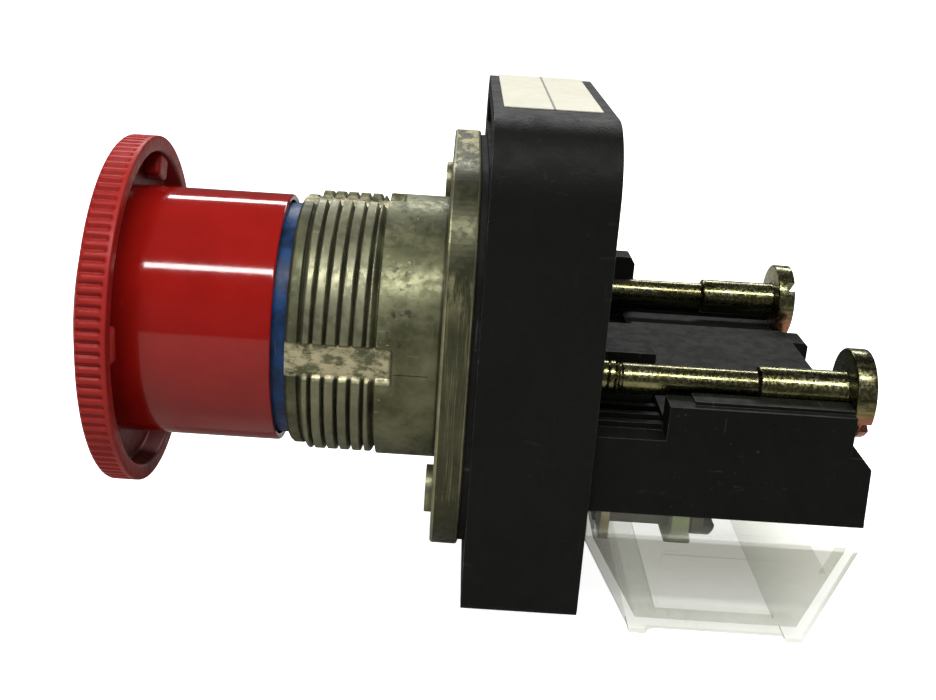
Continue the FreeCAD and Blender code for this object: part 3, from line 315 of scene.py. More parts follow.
@dataclass(frozen=True)
class Finish:
    """A finish with a base colour, a second tone, grain and scuffs."""

    name: str
    slot: str
    colour: Colour
    tone: Colour
    gloss: Gloss
    metallic: float = 0.0
    specular: float = 0.5
    grain_scale: float = 2500.0
    grain_depth: float = 0.05
    scuff: float = 0.2
    scuff_colour: Colour = (0.3, 0.3, 0.3)
    blotch_scale: float = 150.0
    tone_share: float = 0.6
    gloss_change: float = 0.12

    def material(self, effects: Effects) -> bpy.types.Material:
        """Builds the material.

        Args:
            effects: the shared shader groups.

        Returns:
            A new material.
        """
        material, graph, shader, place = self.start()
        layers = self.layers(graph, effects, place)
        self.detail(layers)
        graph.link(layers.colour, shader, "Base Color")
        graph.link(layers.rough, shader, "Roughness")
        self.bump(graph, shader, layers.height)
        return material

    def start(self) -> tuple[bpy.types.Material, Graph, Node, Socket]:
        """Starts a material.

        Returns:
            The material, its graph, its shader and object coordinates.
        """
        material = bpy.data.materials.new(self.name)
        material.use_nodes = True
        material.node_tree.nodes.clear()
        graph = Graph(material.node_tree)
        shader = graph.add("ShaderNodeBsdfPrincipled", {"Metallic": self.metallic,
                                                        "Specular IOR Level": self.specular})
        graph.add("ShaderNodeOutputMaterial", {"Surface": shader.outputs[0]})
        material.diffuse_color = (*self.colour, 1.0)
        return material, graph, shader, graph.add("ShaderNodeTexCoord").outputs["Object"]

    def layers(self, graph: Graph, effects: Effects, place: Socket) -> Layers:
        """Layers tone, grain and scuffs.

        Args:
            graph: the material's graph.
            effects: the shared groups.
            place: object coordinates.

        Returns:
            The layers.
        """
        grain = graph.add("ShaderNodeGroup", node_tree=effects.grain)
        blotch = graph.add("ShaderNodeGroup", node_tree=effects.blotches)
        scuff = graph.add("ShaderNodeGroup", node_tree=effects.scuffs)
        for node in (grain, blotch, scuff):
            graph.link(place, node, "Vector")
        grain.inputs["Scale"].default_value = self.grain_scale
        blotch.inputs["Scale"].default_value = self.blotch_scale
        scuff.inputs["Amount"].default_value = self.scuff
        mask = graph.calc("ADD", graph.times(blotch.outputs["Mask"], 0.65),
                          graph.times(grain.outputs["Tone"], 0.35))
        colour = graph.blend(graph.times(mask, self.tone_share), self.colour, self.tone)
        colour = graph.blend(scuff.outputs["Mask"], colour, self.scuff_colour)
        rough = graph.calc("MULTIPLY_ADD", blotch.outputs["Fine"], self.gloss_change, self.gloss.value)
        rough = graph.calc("MULTIPLY_ADD", scuff.outputs["Mask"], 0.25, rough, clamp=True)
        height = graph.calc("SUBTRACT", grain.outputs["Height"], scuff.outputs["Mask"])
        return Layers(graph, place, colour, rough, height)

    def detail(self, layers: Layers) -> None:
        """Adds what one kind of finish has beyond its layers, which is nothing for a plain one."""

    def bump(self, graph: Graph, shader: Node, height: Socket) -> None:
        """Feeds a height to the shader's normal through a Bump node."""
        node = graph.add("ShaderNodeBump", {"Strength": 0.6, "Distance": self.grain_depth * MM,
                                            "Height": height})
        graph.link(node.outputs[0], shader, "Normal")


@dataclass(frozen=True)
class CastZinc(Finish):
    """Die-cast zinc: mottled metal, painted shade in the thread's root, painted highlights on its crests and
    a brushed rim whose top is lightened by wear and a painted highlight.

    Radii and places are in millimetres.
    """

    root_radius: float = 14.15
    crest_radius: float = 15.0
    flange_reach: float = 21.5
    thread_rear: float = -7.0
    lane_rear: float = -5.2
    parting_z: float = -0.7
    root_shade: Colour = (0.018, 0.017, 0.013)
    crest: Colour = (0.36, 0.35, 0.25)
    worn_lane: Colour = (0.56, 0.51, 0.33)
    pit: Colour = (0.05, 0.048, 0.038)
    flange: Colour = (0.038, 0.038, 0.022)
    brushing: Colour = (0.15, 0.147, 0.085)
    rim_wear_and_highlight: Colour = (0.42, 0.40, 0.22)
    seam: Colour = (0.02, 0.019, 0.012)

    def detail(self, layers: Layers) -> None:
        """Adds the thread's painted shade, painted highlights and lane wear, the land's pits, the flange's
        rim and the seams.

        Args:
            layers: the layers so far.
        """
        x, y, z = layers.graph.add("ShaderNodeSeparateXYZ", {0: layers.place}).outputs
        self.detail_thread(layers, layers.graph.radius(x, z), y, layers.graph.reach("MINIMUM", x, z))
        self.detail_land(layers, y, z)
        behind = layers.graph.step(y, -0.1, 0.1)
        self.detail_flange(layers, behind, layers.graph.reach("MAXIMUM", x, z), z)
        self.detail_seams(layers, behind, y, z)

    def detail_thread(self, layers: Layers, radius: Socket, y: Socket, aside: Socket) -> None:
        """Darkens the thread's root with painted shade, brightens its crests with a painted highlight and
        wears its lanes.

        Args:
            layers: the layers so far.
            radius: distance from the axis.
            y: place along the axis.
            aside: distance from the nearest lane's middle.
        """
        graph = layers.graph
        # Painted shade in the thread's grooves: points near the root radius, away from the lanes, are
        # darkened and made a little rougher.
        low = graph.remap(radius, self.root_radius * MM, (self.root_radius + 0.5) * MM, 1.0, 0.0)
        threaded = graph.step(y, self.thread_rear, self.thread_rear - 0.4)
        root_shade = graph.times(low, threaded, graph.step(aside, 1.65, 2.1))
        layers.paint(graph.times(root_shade, 0.82), self.root_shade)
        # Painted highlight: the thread's crests are lightened towards the crest colour.
        crest = graph.times(graph.step(radius, self.crest_radius - 0.2, self.crest_radius), threaded)
        layers.paint(graph.times(crest, 0.3), self.crest)
        lane = graph.times(graph.step(y, self.lane_rear, self.lane_rear - 0.4), graph.step(aside, 1.9, 1.75))
        worn = graph.remap(graph.stretched(layers.place, (520.0, 520.0, 900.0), 4.0, 0.7), 0.40, 0.58)
        layers.paint(graph.times(lane, worn), self.worn_lane)
        layers.rough = graph.calc("MULTIPLY_ADD", root_shade, 0.3, layers.rough, clamp=True)

    def detail_land(self, layers: Layers, y: Socket, z: Socket) -> None:
        """Pits a patch of the plain land.

        Args:
            layers: the layers so far.
            y: place along the axis.
            z: height.
        """
        graph = layers.graph
        pits = graph.remap(graph.noise(layers.place, 900.0, 3.0, 0.7), 0.56, 0.68)
        patch = graph.times(graph.step(y, -6.6, -5.2), graph.step(y, -2.8, -3.6), graph.step(z, -2.0, 4.0))
        layers.paint(graph.times(pits, patch, 0.8), self.pit)

    def detail_flange(self, layers: Layers, behind: Socket, reach: Socket, z: Socket) -> None:
        """Darkens the flange, brushes its rim and lightens the rim's top with wear and a painted highlight.

        Args:
            layers: the layers so far.
            behind: mask of the flange.
            reach: the greater of |x| and |z|.
            z: height.
        """
        graph = layers.graph
        brushed = graph.stretched(layers.place, (2400.0, 5200.0, 150.0), 3.0, 0.6)
        layers.paint(graph.times(behind, 0.75), self.flange)
        rim = graph.times(behind, graph.step(reach, self.flange_reach - 0.5, self.flange_reach - 0.1))
        layers.paint(graph.times(rim, graph.remap(brushed, 0.48, 0.70)), self.brushing)
        # The rim's top, 6 to 14 mm up, is lightened in patches: partly wear, partly a painted highlight.
        rubbed = graph.remap(graph.stretched(layers.place, (240.0, 700.0, 190.0), 4.0, 0.65), 0.46, 0.62)
        layers.paint(graph.times(rim, graph.step(z, 6.0, 14.0), rubbed), self.rim_wear_and_highlight)
        layers.height = graph.calc("MULTIPLY_ADD", graph.times(rim, brushed), 0.8, layers.height)

    def detail_seams(self, layers: Layers, behind: Socket, y: Socket, z: Socket) -> None:
        """Draws the seam in front of the flange and the land's parting line.

        Args:
            layers: the layers so far.
            behind: mask of the flange.
            y: place along the axis.
            z: height.
        """
        graph = layers.graph
        seam = graph.times(graph.step(y, -0.45, -0.2), graph.calc("SUBTRACT", 1.0, behind))
        from_line = graph.calc("ABSOLUTE", graph.calc("SUBTRACT", z, self.parting_z * MM))
        land = graph.times(graph.step(y, -5.0, -4.8), graph.step(y, -1.0, -1.4))
        parting = graph.times(graph.remap(from_line, 0.03 * MM, 0.09 * MM, 1.0, 0.0), land)
        layers.paint(graph.times(graph.calc("MAXIMUM", seam, parting), 0.75), self.seam)


@dataclass(frozen=True)
class Chromate(Finish):
    """Yellow chromate plating: mirror-like olive gold with pink and green stains."""

    stains: tuple = ((0.3, (0.16, 0.15, 0.055)), (0.43, (0.30, 0.28, 0.12)), (0.52, (0.36, 0.34, 0.19)),
                     (0.62, (0.22, 0.25, 0.10)), (0.72, (0.46, 0.25, 0.16)))
    streak: Colour = (0.028, 0.028, 0.013)
    flush: Colour = (0.62, 0.22, 0.15)
    head_front: float = 41.8

    def detail(self, layers: Layers) -> None:
        """Adds stains, dark streaks along the axis and a pink flush low on the head.

        Args:
            layers: the layers so far.
        """
        graph = layers.graph
        along = graph.add("ShaderNodeMapping", {"Vector": layers.place, "Scale": (1.0, 0.30, 1.0)}).outputs[0]
        ramp = graph.add("ShaderNodeValToRGB", {0: graph.noise(along, 300.0, 5.0, 0.7)})
        stops = ramp.color_ramp.elements
        for stop, (position, colour) in zip(stops, (self.stains[0], self.stains[-1])):
            stop.position = position
            stop.color = (*colour, 1.0)
        for position, colour in self.stains[1:-1]:
            stops.new(position).color = (*colour, 1.0)
        layers.colour = graph.blend(0.6, layers.colour, ramp.outputs[0])
        streak = graph.stretched(layers.place, (1100.0, 130.0, 1100.0), 5.0, 0.72)
        layers.paint(graph.times(graph.remap(streak, 0.46, 0.60), 0.72), self.streak)
        _, y, z = graph.add("ShaderNodeSeparateXYZ", {0: layers.place}).outputs
        head = graph.times(graph.step(y, self.head_front, self.head_front + 0.2), graph.step(z, 1.2, -1.5))
        layers.paint(graph.times(head, 0.7), self.flush)


@dataclass(frozen=True)
class ClearPlastic(Finish):
    """Clear moulded plastic with a painted shadow that darkens its side walls towards the top, a painted
    highlight along the bend below its top, smudges and scratches.

    Places are in millimetres.
    """

    # Height of the bend that carries the painted highlight; the painted shadow stops just below it.
    band: float = -13.9
    foot: float = -25.0
    # Height where the painted shadow on the side walls is full.
    full_shadow: float = -15.0
    side_wall: float = 20.8
    edge_tint: Colour = (0.34, 0.34, 0.31)
    body: Colour = (0.24, 0.24, 0.215)
    highlight_band_colour: Colour = (0.80, 0.80, 0.75)
    shine: Colour = (1.0, 1.0, 0.97)

    def material(self, effects: Effects) -> bpy.types.Material:
        """Mixes a tinted clear shader with a veil, then with a shine that grows at glancing angles.

        Args:
            effects: the shared shader groups.

        Returns:
            A new material.
        """
        material, graph, shader, place = self.start()
        scuff = graph.add("ShaderNodeGroup", {"Amount": self.scuff}, node_tree=effects.scuffs)
        blotch = graph.add("ShaderNodeGroup", {"Scale": self.blotch_scale}, node_tree=effects.blotches)
        for node in (scuff, blotch):
            graph.link(place, node, "Vector")
        x, _, z = graph.add("ShaderNodeSeparateXYZ", {0: place}).outputs
        side = graph.step(graph.calc("ABSOLUTE", x), self.side_wall, self.side_wall + 0.4)
        # Painted shadow: below the band, the side walls' see-through tint darkens towards the tone, from a
        # 35% share at the foot to full near the top.
        wall = graph.times(graph.step(z, self.band - 0.4, self.band - 0.7),
                           graph.remap(z, self.foot * MM, self.full_shadow * MM, 0.35, 1.0), side)
        facing = graph.add("ShaderNodeLayerWeight", {"Blend": 0.35}).outputs["Facing"]
        tint = graph.blend(wall, self.colour, self.tone)
        tint = graph.blend(graph.remap(facing, 0.72, 0.98, 0.0, 0.8), tint, self.edge_tint)
        clear = graph.add("ShaderNodeBsdfTransparent", {"Color": tint})
        # Painted highlight: a thin band along the bend is lighter in colour and, in streaks on the side
        # walls, more veiled.
        from_band = graph.calc("ABSOLUTE", graph.calc("SUBTRACT", z, self.band * MM))
        band = graph.remap(from_band, 0.1 * MM, 0.4 * MM, 1.0, 0.0)
        streak = graph.remap(graph.stretched(place, (300.0, 60.0, 300.0), 3.0, 0.6), 0.35, 0.6)
        veil = graph.calc("MULTIPLY_ADD", blotch.outputs["Mask"], 0.05, 0.05)
        veil = graph.calc("MULTIPLY_ADD", graph.times(band, streak, side), 0.26, veil)
        veil = graph.calc("MULTIPLY_ADD", scuff.outputs["Mask"], 0.5, veil, clamp=True)
        graph.link(graph.blend(band, self.body, self.highlight_band_colour), shader, "Base Color")
        shader.inputs["Roughness"].default_value = self.gloss.value
        wave = graph.times(graph.noise(place, 70.0, 2.0, 0.4), 4.0)
        self.bump(graph, shader, graph.calc("SUBTRACT", wave, scuff.outputs["Mask"]))
        mixed = graph.add("ShaderNodeMixShader", {0: veil, 1: clear.outputs[0], 2: shader.outputs[0]})
        shine = graph.add("ShaderNodeBsdfGlossy", {"Roughness": 0.06, "Color": (*self.shine, 1.0)})
        mirrored = graph.remap(facing, 0.55, 1.0, 0.03, 0.35, smooth=False)
        final = graph.add("ShaderNodeMixShader", {0: mirrored, 1: mixed.outputs[0], 2: shine.outputs[0]})
        graph.link(final.outputs[0], material.node_tree.get_output_node("ALL"), "Surface")
        return material


@dataclass(frozen=True)
class PaperLabel(Finish):
    """Blank paper: fibres, yellowed patches and one thin line across its middle."""

    middle: float = 9.9
    line: Colour = (0.09, 0.09, 0.085)

    def detail(self, layers: Layers) -> None:
        """Draws the dividing line.

        Args:
            layers: the layers so far.
        """
        graph = layers.graph
        y = graph.add("ShaderNodeSeparateXYZ", {0: layers.place}).outputs[1]
        aside = graph.calc("ABSOLUTE", graph.calc("SUBTRACT", y, self.middle * MM))
        layers.paint(graph.times(graph.remap(aside, 0.10 * MM, 0.16 * MM, 1.0, 0.0), 0.75), self.line)


RED_HEAD = Finish("red_moulded_head", "red_head", (0.27, 0.0135, 0.0105), (0.20, 0.008, 0.007), Gloss.SATIN,
                  specular=0.22, grain_scale=2200.0, grain_depth=0.03, scuff=0.25,
                  scuff_colour=(0.5, 0.16, 0.13))
RED_SKIRT = Finish("red_polished_skirt", "red_skirt", (0.235, 0.0062, 0.0042), (0.165, 0.0042, 0.0032),
                   Gloss.POLISHED, specular=0.42, grain_scale=900.0, grain_depth=0.005, scuff=0.12,
                   scuff_colour=(0.4, 0.08, 0.06), gloss_change=0.03)
BLUE_SLEEVE = Finish("blue_moulded_sleeve", "blue_sleeve", (0.002, 0.009, 0.026), (0.004, 0.055, 0.20),
                     Gloss.SATIN, specular=0.3, scuff=0.35, scuff_colour=(0.08, 0.18, 0.36),
                     blotch_scale=230.0, tone_share=0.8)
ZINC = CastZinc("cast_zinc", "zinc", (0.225, 0.228, 0.130), (0.085, 0.087, 0.045), Gloss.SATIN, metallic=0.8,
                grain_scale=1500.0, grain_depth=0.045, scuff=0.5, scuff_colour=(0.50, 0.48, 0.33),
                blotch_scale=170.0, tone_share=0.95, gloss_change=0.22)
# Paler zinc on the flange plate's rounded edges: partly wear, partly a painted edge highlight. The flange
# screws are made of it too.
ZINC_EDGE = Finish("worn_and_highlit_zinc_edge", "zinc", (0.34, 0.33, 0.20), (0.11, 0.11, 0.06), Gloss.SATIN,
                   metallic=0.9, scuff=0.5, scuff_colour=(0.66, 0.64, 0.5), blotch_scale=420.0)
BLACK_BASE = Finish("black_grained_base", "black_plastic", (0.0040, 0.0043, 0.0037),
                    (0.0065, 0.0068, 0.0056), Gloss.DULL, specular=0.13, grain_scale=3800.0,
                    grain_depth=0.14, scuff=0.10, scuff_colour=(0.08, 0.08, 0.075), blotch_scale=90.0)
# The base's rounded edges are a paler copy of its plastic: partly rubbed wear, partly a painted highlight
# along the edges.
BASE_EDGE = Finish("rubbed_and_highlit_base_edge", "black_plastic", (0.012, 0.0122, 0.011), (0.055, 0.055, 0.046),
                   Gloss.GLOSS, specular=0.5, grain_scale=1600.0, grain_depth=0.06, scuff=0.8,
                   scuff_colour=(0.38, 0.38, 0.35), blotch_scale=260.0, tone_share=0.9)
BLACK_BLOCK = Finish("black_moulded_block", "black_plastic", (0.0046, 0.0050, 0.0043),
                     (0.0075, 0.0078, 0.0066), Gloss.DULL, specular=0.08, grain_scale=2600.0,
                     grain_depth=0.04, scuff=0.28, scuff_colour=(0.09, 0.095, 0.09), blotch_scale=110.0)
# The block's rounded edges are a paler copy of its plastic: partly rubbed wear, partly a painted highlight
# along the edges.
BLACK_EDGE = Finish("rubbed_and_highlit_black_edge", "black_plastic", (0.009, 0.0095, 0.008), (0.030, 0.031, 0.027),
                    Gloss.SATIN, specular=0.22, grain_scale=1800.0, grain_depth=0.05, scuff=0.6,
                    scuff_colour=(0.15, 0.15, 0.14), blotch_scale=420.0, tone_share=0.8)
BLACK_INNER = Finish("black_inner_part", "black_plastic", (0.008, 0.008, 0.008), (0.014, 0.014, 0.014),
                     Gloss.SATIN, specular=0.3)
RUBBER = Finish("black_rubber", "rubber", (0.006, 0.006, 0.0055), (0.014, 0.0135, 0.0125), Gloss.MATT,
                specular=0.2, grain_scale=1800.0, grain_depth=0.08, scuff=0.1)
STEEL = Finish("turned_steel", "steel", (0.50, 0.50, 0.49), (0.33, 0.33, 0.32), Gloss.SATIN, metallic=1.0,
               scuff=0.4, scuff_colour=(0.7, 0.7, 0.7))
DARK_STEEL = Finish("dark_terminal_steel", "steel", (0.30, 0.29, 0.25), (0.12, 0.118, 0.09), Gloss.SATIN,
                    metallic=0.9, scuff=0.4, scuff_colour=(0.5, 0.5, 0.42), blotch_scale=300.0)
BRASS = Finish("dull_brass", "brass", (0.62, 0.54, 0.32), (0.42, 0.35, 0.20), Gloss.SATIN, metallic=0.8,
               scuff=0.3, scuff_colour=(0.78, 0.72, 0.5))
CHROMATE = Chromate("gold_chromate", "chromate", (0.20, 0.195, 0.095), (0.045, 0.045, 0.022), Gloss.MIRROR,
                    metallic=1.0, grain_scale=1900.0, grain_depth=0.03, scuff=0.9,
                    scuff_colour=(0.42, 0.42, 0.30), blotch_scale=420.0, tone_share=0.95,
                    gloss_change=0.22)
SADDLE = Finish("pale_green_plating", "chromate", (0.62, 0.74, 0.42), (0.45, 0.53, 0.28), Gloss.SATIN,
                metallic=0.25, scuff=0.3, scuff_colour=(0.75, 0.8, 0.6))
# The tone is the grey of the painted shadow on the guard's side walls.
CLEAR = ClearPlastic("clear_guard", "clear_plastic", (0.95, 0.955, 0.935), (0.61, 0.61, 0.57),
                     Gloss.MIRROR, grain_depth=0.05, scuff=0.25, blotch_scale=40.0, gloss_change=0.05)
LABEL = PaperLabel("blank_paper_label", "label", (0.52, 0.505, 0.42), (0.43, 0.415, 0.33), Gloss.MATT,
                   specular=0.2, grain_scale=3200.0, grain_depth=0.02, scuff=0.15,
                   scuff_colour=(0.3, 0.28, 0.22), blotch_scale=110.0)


class Palette:
    """Makes each finish's material once."""

    def __init__(self) -> None:
        """Starts with the shared effects and no materials."""
        self.effects = Effects()
        self.made: dict[str, bpy.types.Material] = {}

    def get(self, finish: Finish) -> bpy.types.Material:
        """Builds a finish's material on first use.

        Args:
            finish: the finish.

        Returns:
            Its material.
        """
        if finish.name not in self.made:
            self.made[finish.name] = finish.material(self.effects)
        return self.made[finish.name]


# ---- shapes ------------------------------------------------------------------------------------

def soften(points: list[Point], width: float, steps: int = 4, closed: bool = True) -> list[Point]:
    """Rounds the corners of an outline.

    Args:
        points: corners in millimetres.
        width: how far from each corner its curve starts.
        steps: points on each curve.
        closed: whether the last corner joins the first.

    Returns:
        The outline with a short curve at each corner.
    """
    result: list[Point] = []
    count = len(points)
    for index, corner in enumerate(points):
        if not closed and index in (0, count - 1):
            result.append(corner)
            continue
        here = Vector(corner)
        before = Vector(points[index - 1]) - here
        after = Vector(points[(index + 1) % count]) - here
        reach = min(width, before.length * EDGE_SHARE, after.length * EDGE_SHARE)
        start = here + before.normalized() * reach
        end = here + after.normalized() * reach
        for step in range(steps + 1):
            share = step / steps
            spot = start.lerp(here, share).lerp(here.lerp(end, share), share)
            result.append((spot.x, spot.y))
    return result


def divide(points: list[Point], longest: float, inside: tuple[float, float, float]) -> list[Point]:
    """Adds points to the edges of a closed outline that lie in a band.

    Args:
        points: (radius, y) corners in millimetres.
        longest: the largest step wanted.
        inside: lowest radius, lowest y and highest y of the band.

    Returns:
        The outline with extra points.
    """
    radius, low, high = inside
    result: list[Point] = []
    for index, (r0, y0) in enumerate(points):
        r1, y1 = points[(index + 1) % len(points)]
        result.append((r0, y0))
        length = math.hypot(r1 - r0, y1 - y0)
        if min(r0, r1) >= radius and min(y0, y1) >= low and max(y0, y1) <= high and length > longest:
            cuts = math.ceil(length / longest)
            result += [(r0 + (r1 - r0) * i / cuts, y0 + (y1 - y0) * i / cuts) for i in range(1, cuts)]
    return result


def new_object(name: str, mesh: bpy.types.Mesh) -> bpy.types.Object:
    """Puts a mesh in the scene.

    Args:
        name: the object's name.
        mesh: its mesh.

    Returns:
        The object, at the origin.
    """
    obj = bpy.data.objects.new(name, mesh)
    bpy.context.scene.collection.objects.link(obj)
    return obj


def lathe(name: str, profile: list[Point], segments: int) -> bpy.types.Object:
    """Turns a closed (radius, y) profile about the Y axis.

    Args:
        name: the object's name.
        profile: points in millimetres; a radius of zero makes a pole.
        segments: steps round the axis.

    Returns:
        The object, smooth apart from its sharp edges.
    """
    build = bmesh.new()
    rings = []
    for radius, y in profile:
        if radius < POLE_RADIUS:
            rings.append([build.verts.new((0.0, y * MM, 0.0))])
            continue
        ring = []
        for step in range(segments):
            angle = 2.0 * math.pi * step / segments
            ring.append(build.verts.new((radius * math.sin(angle) * MM, y * MM,
                                         radius * math.cos(angle) * MM)))
        rings.append(ring)
    for index, ring in enumerate(rings):
        other = rings[(index + 1) % len(rings)]
        for step in range(segments):
            following = (step + 1) % segments
            if len(ring) == 1 and len(other) == 1:
                break
            if len(ring) == 1:
                build.faces.new((ring[0], other[step], other[following]))
            elif len(other) == 1:
                build.faces.new((ring[step], other[0], ring[following]))
            else:
                build.faces.new((ring[step], other[step], other[following], ring[following]))
    bmesh.ops.recalc_face_normals(build, faces=build.faces)
    mesh = bpy.data.meshes.new(name)
    build.to_mesh(mesh)
    build.free()
    smooth(mesh)
    return new_object(name, mesh)


def smooth(mesh: bpy.types.Mesh) -> None:
    """Shades a mesh smooth apart from its sharp edges."""
    mesh.shade_smooth()
    mesh.set_sharp_from_angle(angle=math.radians(SHARP_ANGLE))


def block(name: str, low: tuple, high: tuple) -> bpy.types.Object:
    """A plain box, used as a cutter or as a lug.

    Args:
        name: the object's name.
        low: lowest corner in millimetres.
        high: highest corner in millimetres.

    Returns:
        The box.
    """
    build = bmesh.new()
    bmesh.ops.create_cube(build, size=1.0)
    for vertex in build.verts:
        vertex.co = Vector([(low[i] if vertex.co[i] < 0 else high[i]) * MM for i in range(3)])
    mesh = bpy.data.meshes.new(name)
    build.to_mesh(mesh)
    build.free()
    return new_object(name, mesh)


def prism(name: str, outline: list[Point], low: float, high: float) -> bpy.types.Object:
    """Extrudes a closed (x, z) outline along Y.

    Args:
        name: the object's name.
        outline: corners in millimetres.
        low: Y of the front face.
        high: Y of the rear face.

    Returns:
        The solid.
    """
    build = bmesh.new()
    front = [build.verts.new((x * MM, low * MM, z * MM)) for x, z in outline]
    rear = [build.verts.new((x * MM, high * MM, z * MM)) for x, z in outline]
    build.faces.new(front)
    build.faces.new(list(reversed(rear)))
    for index in range(len(outline)):
        other = (index + 1) % len(outline)
        build.faces.new((front[index], rear[index], rear[other], front[other]))
    bmesh.ops.recalc_face_normals(build, faces=build.faces)
    mesh = bpy.data.meshes.new(name)
    build.to_mesh(mesh)
    build.free()
    return new_object(name, mesh)


def cut(obj: bpy.types.Object, cutter: bpy.types.Object) -> None:
    """Takes one object out of another by a Boolean modifier that bake() applies.

    Args:
        obj: the object.
        cutter: what is taken out of it.
    """
    modifier = obj.modifiers.new("cut", "BOOLEAN")
    modifier.operation = "DIFFERENCE"
    modifier.solver = "EXACT"
    modifier.object = cutter


def round_edges(obj: bpy.types.Object, width: float, steps: int = 3, material_index: int = -1,
                angle: float = 32.0) -> None:
    """Rounds an object's edges.

    Args:
        obj: the object.
        width: width of each rounded edge in millimetres.
        steps: segments across it.
        material_index: slot of the rounded faces, or -1 for their neighbours' slot.
        angle: least angle between faces, in degrees, of an edge that is rounded.
    """
    bevel = obj.modifiers.new("edges", "BEVEL")
    bevel.width = width * MM
    bevel.segments = steps
    bevel.limit_method = "ANGLE"
    bevel.angle_limit = math.radians(angle)
    bevel.material = material_index
    bevel.use_clamp_overlap = True
    normals = obj.modifiers.new("normals", "WEIGHTED_NORMAL")
    normals.keep_sharp = True


def bake(obj: bpy.types.Object, *cutters: bpy.types.Object) -> None:
    """Makes the evaluated shape the object's own plain mesh.

    Args:
        obj: the object, whose modifiers are dropped.
        cutters: objects that its Booleans used, which are removed.
    """
    bpy.context.view_layer.update()
    depsgraph = bpy.context.evaluated_depsgraph_get()
    mesh = bpy.data.meshes.new_from_object(obj.evaluated_get(depsgraph), depsgraph=depsgraph)
    obj.modifiers.clear()
    obj.data = mesh
    for cutter in cutters:
        bpy.data.objects.remove(cutter)


def refined(name: str, node: str, width: float, steps: int = 3, materials: tuple = (),
            angle: float = 32.0) -> bpy.types.Object:
    """Copies a CAD node, joins its faces and rounds its edges.

    Args:
        name: the new object's name.
        node: the CAD node.
        width: width of each rounded edge in millimetres.
        steps: segments across each rounded edge.
        materials: the body's material, and optionally another for its rounded edges.
        angle: least angle of an edge that is rounded, in degrees.

    Returns:
        The baked object.
    """
    mesh = frame["nodes"][node].data.copy()
    mesh.name = name
    mesh.materials.clear()
    build = bmesh.new()
    build.from_mesh(mesh)
    bmesh.ops.remove_doubles(build, verts=build.verts, dist=MERGE_DISTANCE)
    bmesh.ops.dissolve_limit(build, angle_limit=math.radians(FLAT_ANGLE), verts=build.verts,
                             edges=build.edges)
    for face in build.faces:
        face.material_index = 0
        face.smooth = True
    build.to_mesh(mesh)
    build.free()
    obj = new_object(name, mesh)
    for material in materials:
        mesh.materials.append(material)
    round_edges(obj, width, steps, 1 if len(materials) > 1 else -1, angle)
    bake(obj)
    return obj


def move(obj: bpy.types.Object, x: float, z: float, turn: float = 0.0) -> None:
    """Turns a finished mesh about its Y axis by degrees, then shifts it by millimetres."""
    shift = Matrix.Translation((x * MM, 0.0, z * MM))
    obj.data.transform(shift @ Matrix.Rotation(math.radians(turn), 4, "Y"))


def join(main: bpy.types.Object, *others: bpy.types.Object) -> None:
    """Joins meshes into one.

    Args:
        main: the object that keeps its name and material slots.
        others: the objects that it takes in, which are removed.
    """
    build = bmesh.new()
    for obj in (main, *others):
        build.from_mesh(obj.data)
    materials = main.data.materials[:]
    mesh = bpy.data.meshes.new(main.name)
    build.to_mesh(mesh)
    build.free()
    for material in materials:
        mesh.materials.append(material)
    main.data = mesh
    for obj in others:
        bpy.data.objects.remove(obj)


def hand_over(obj: bpy.types.Object, body: str, finish: Finish, *nodes: str) -> None:
    """Gives a finished piece to its body.

    Args:
        obj: the piece.
        body: the CAD body that it rides on.
        finish: not used.
        nodes: the CAD nodes that it stands for.
    """
    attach(obj, body)
    if nodes:
        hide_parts(*nodes)
    LOG.info("%s rides on %s, %d faces", obj.name, body, len(obj.data.polygons))


# ---- geometry node trees -----------------------------------------------------------------------

class Rule(Enum):
    """The rules by which a turned piece's surface is moved."""

    KNURL = "knurled_band"
    THREAD = "screw_thread"


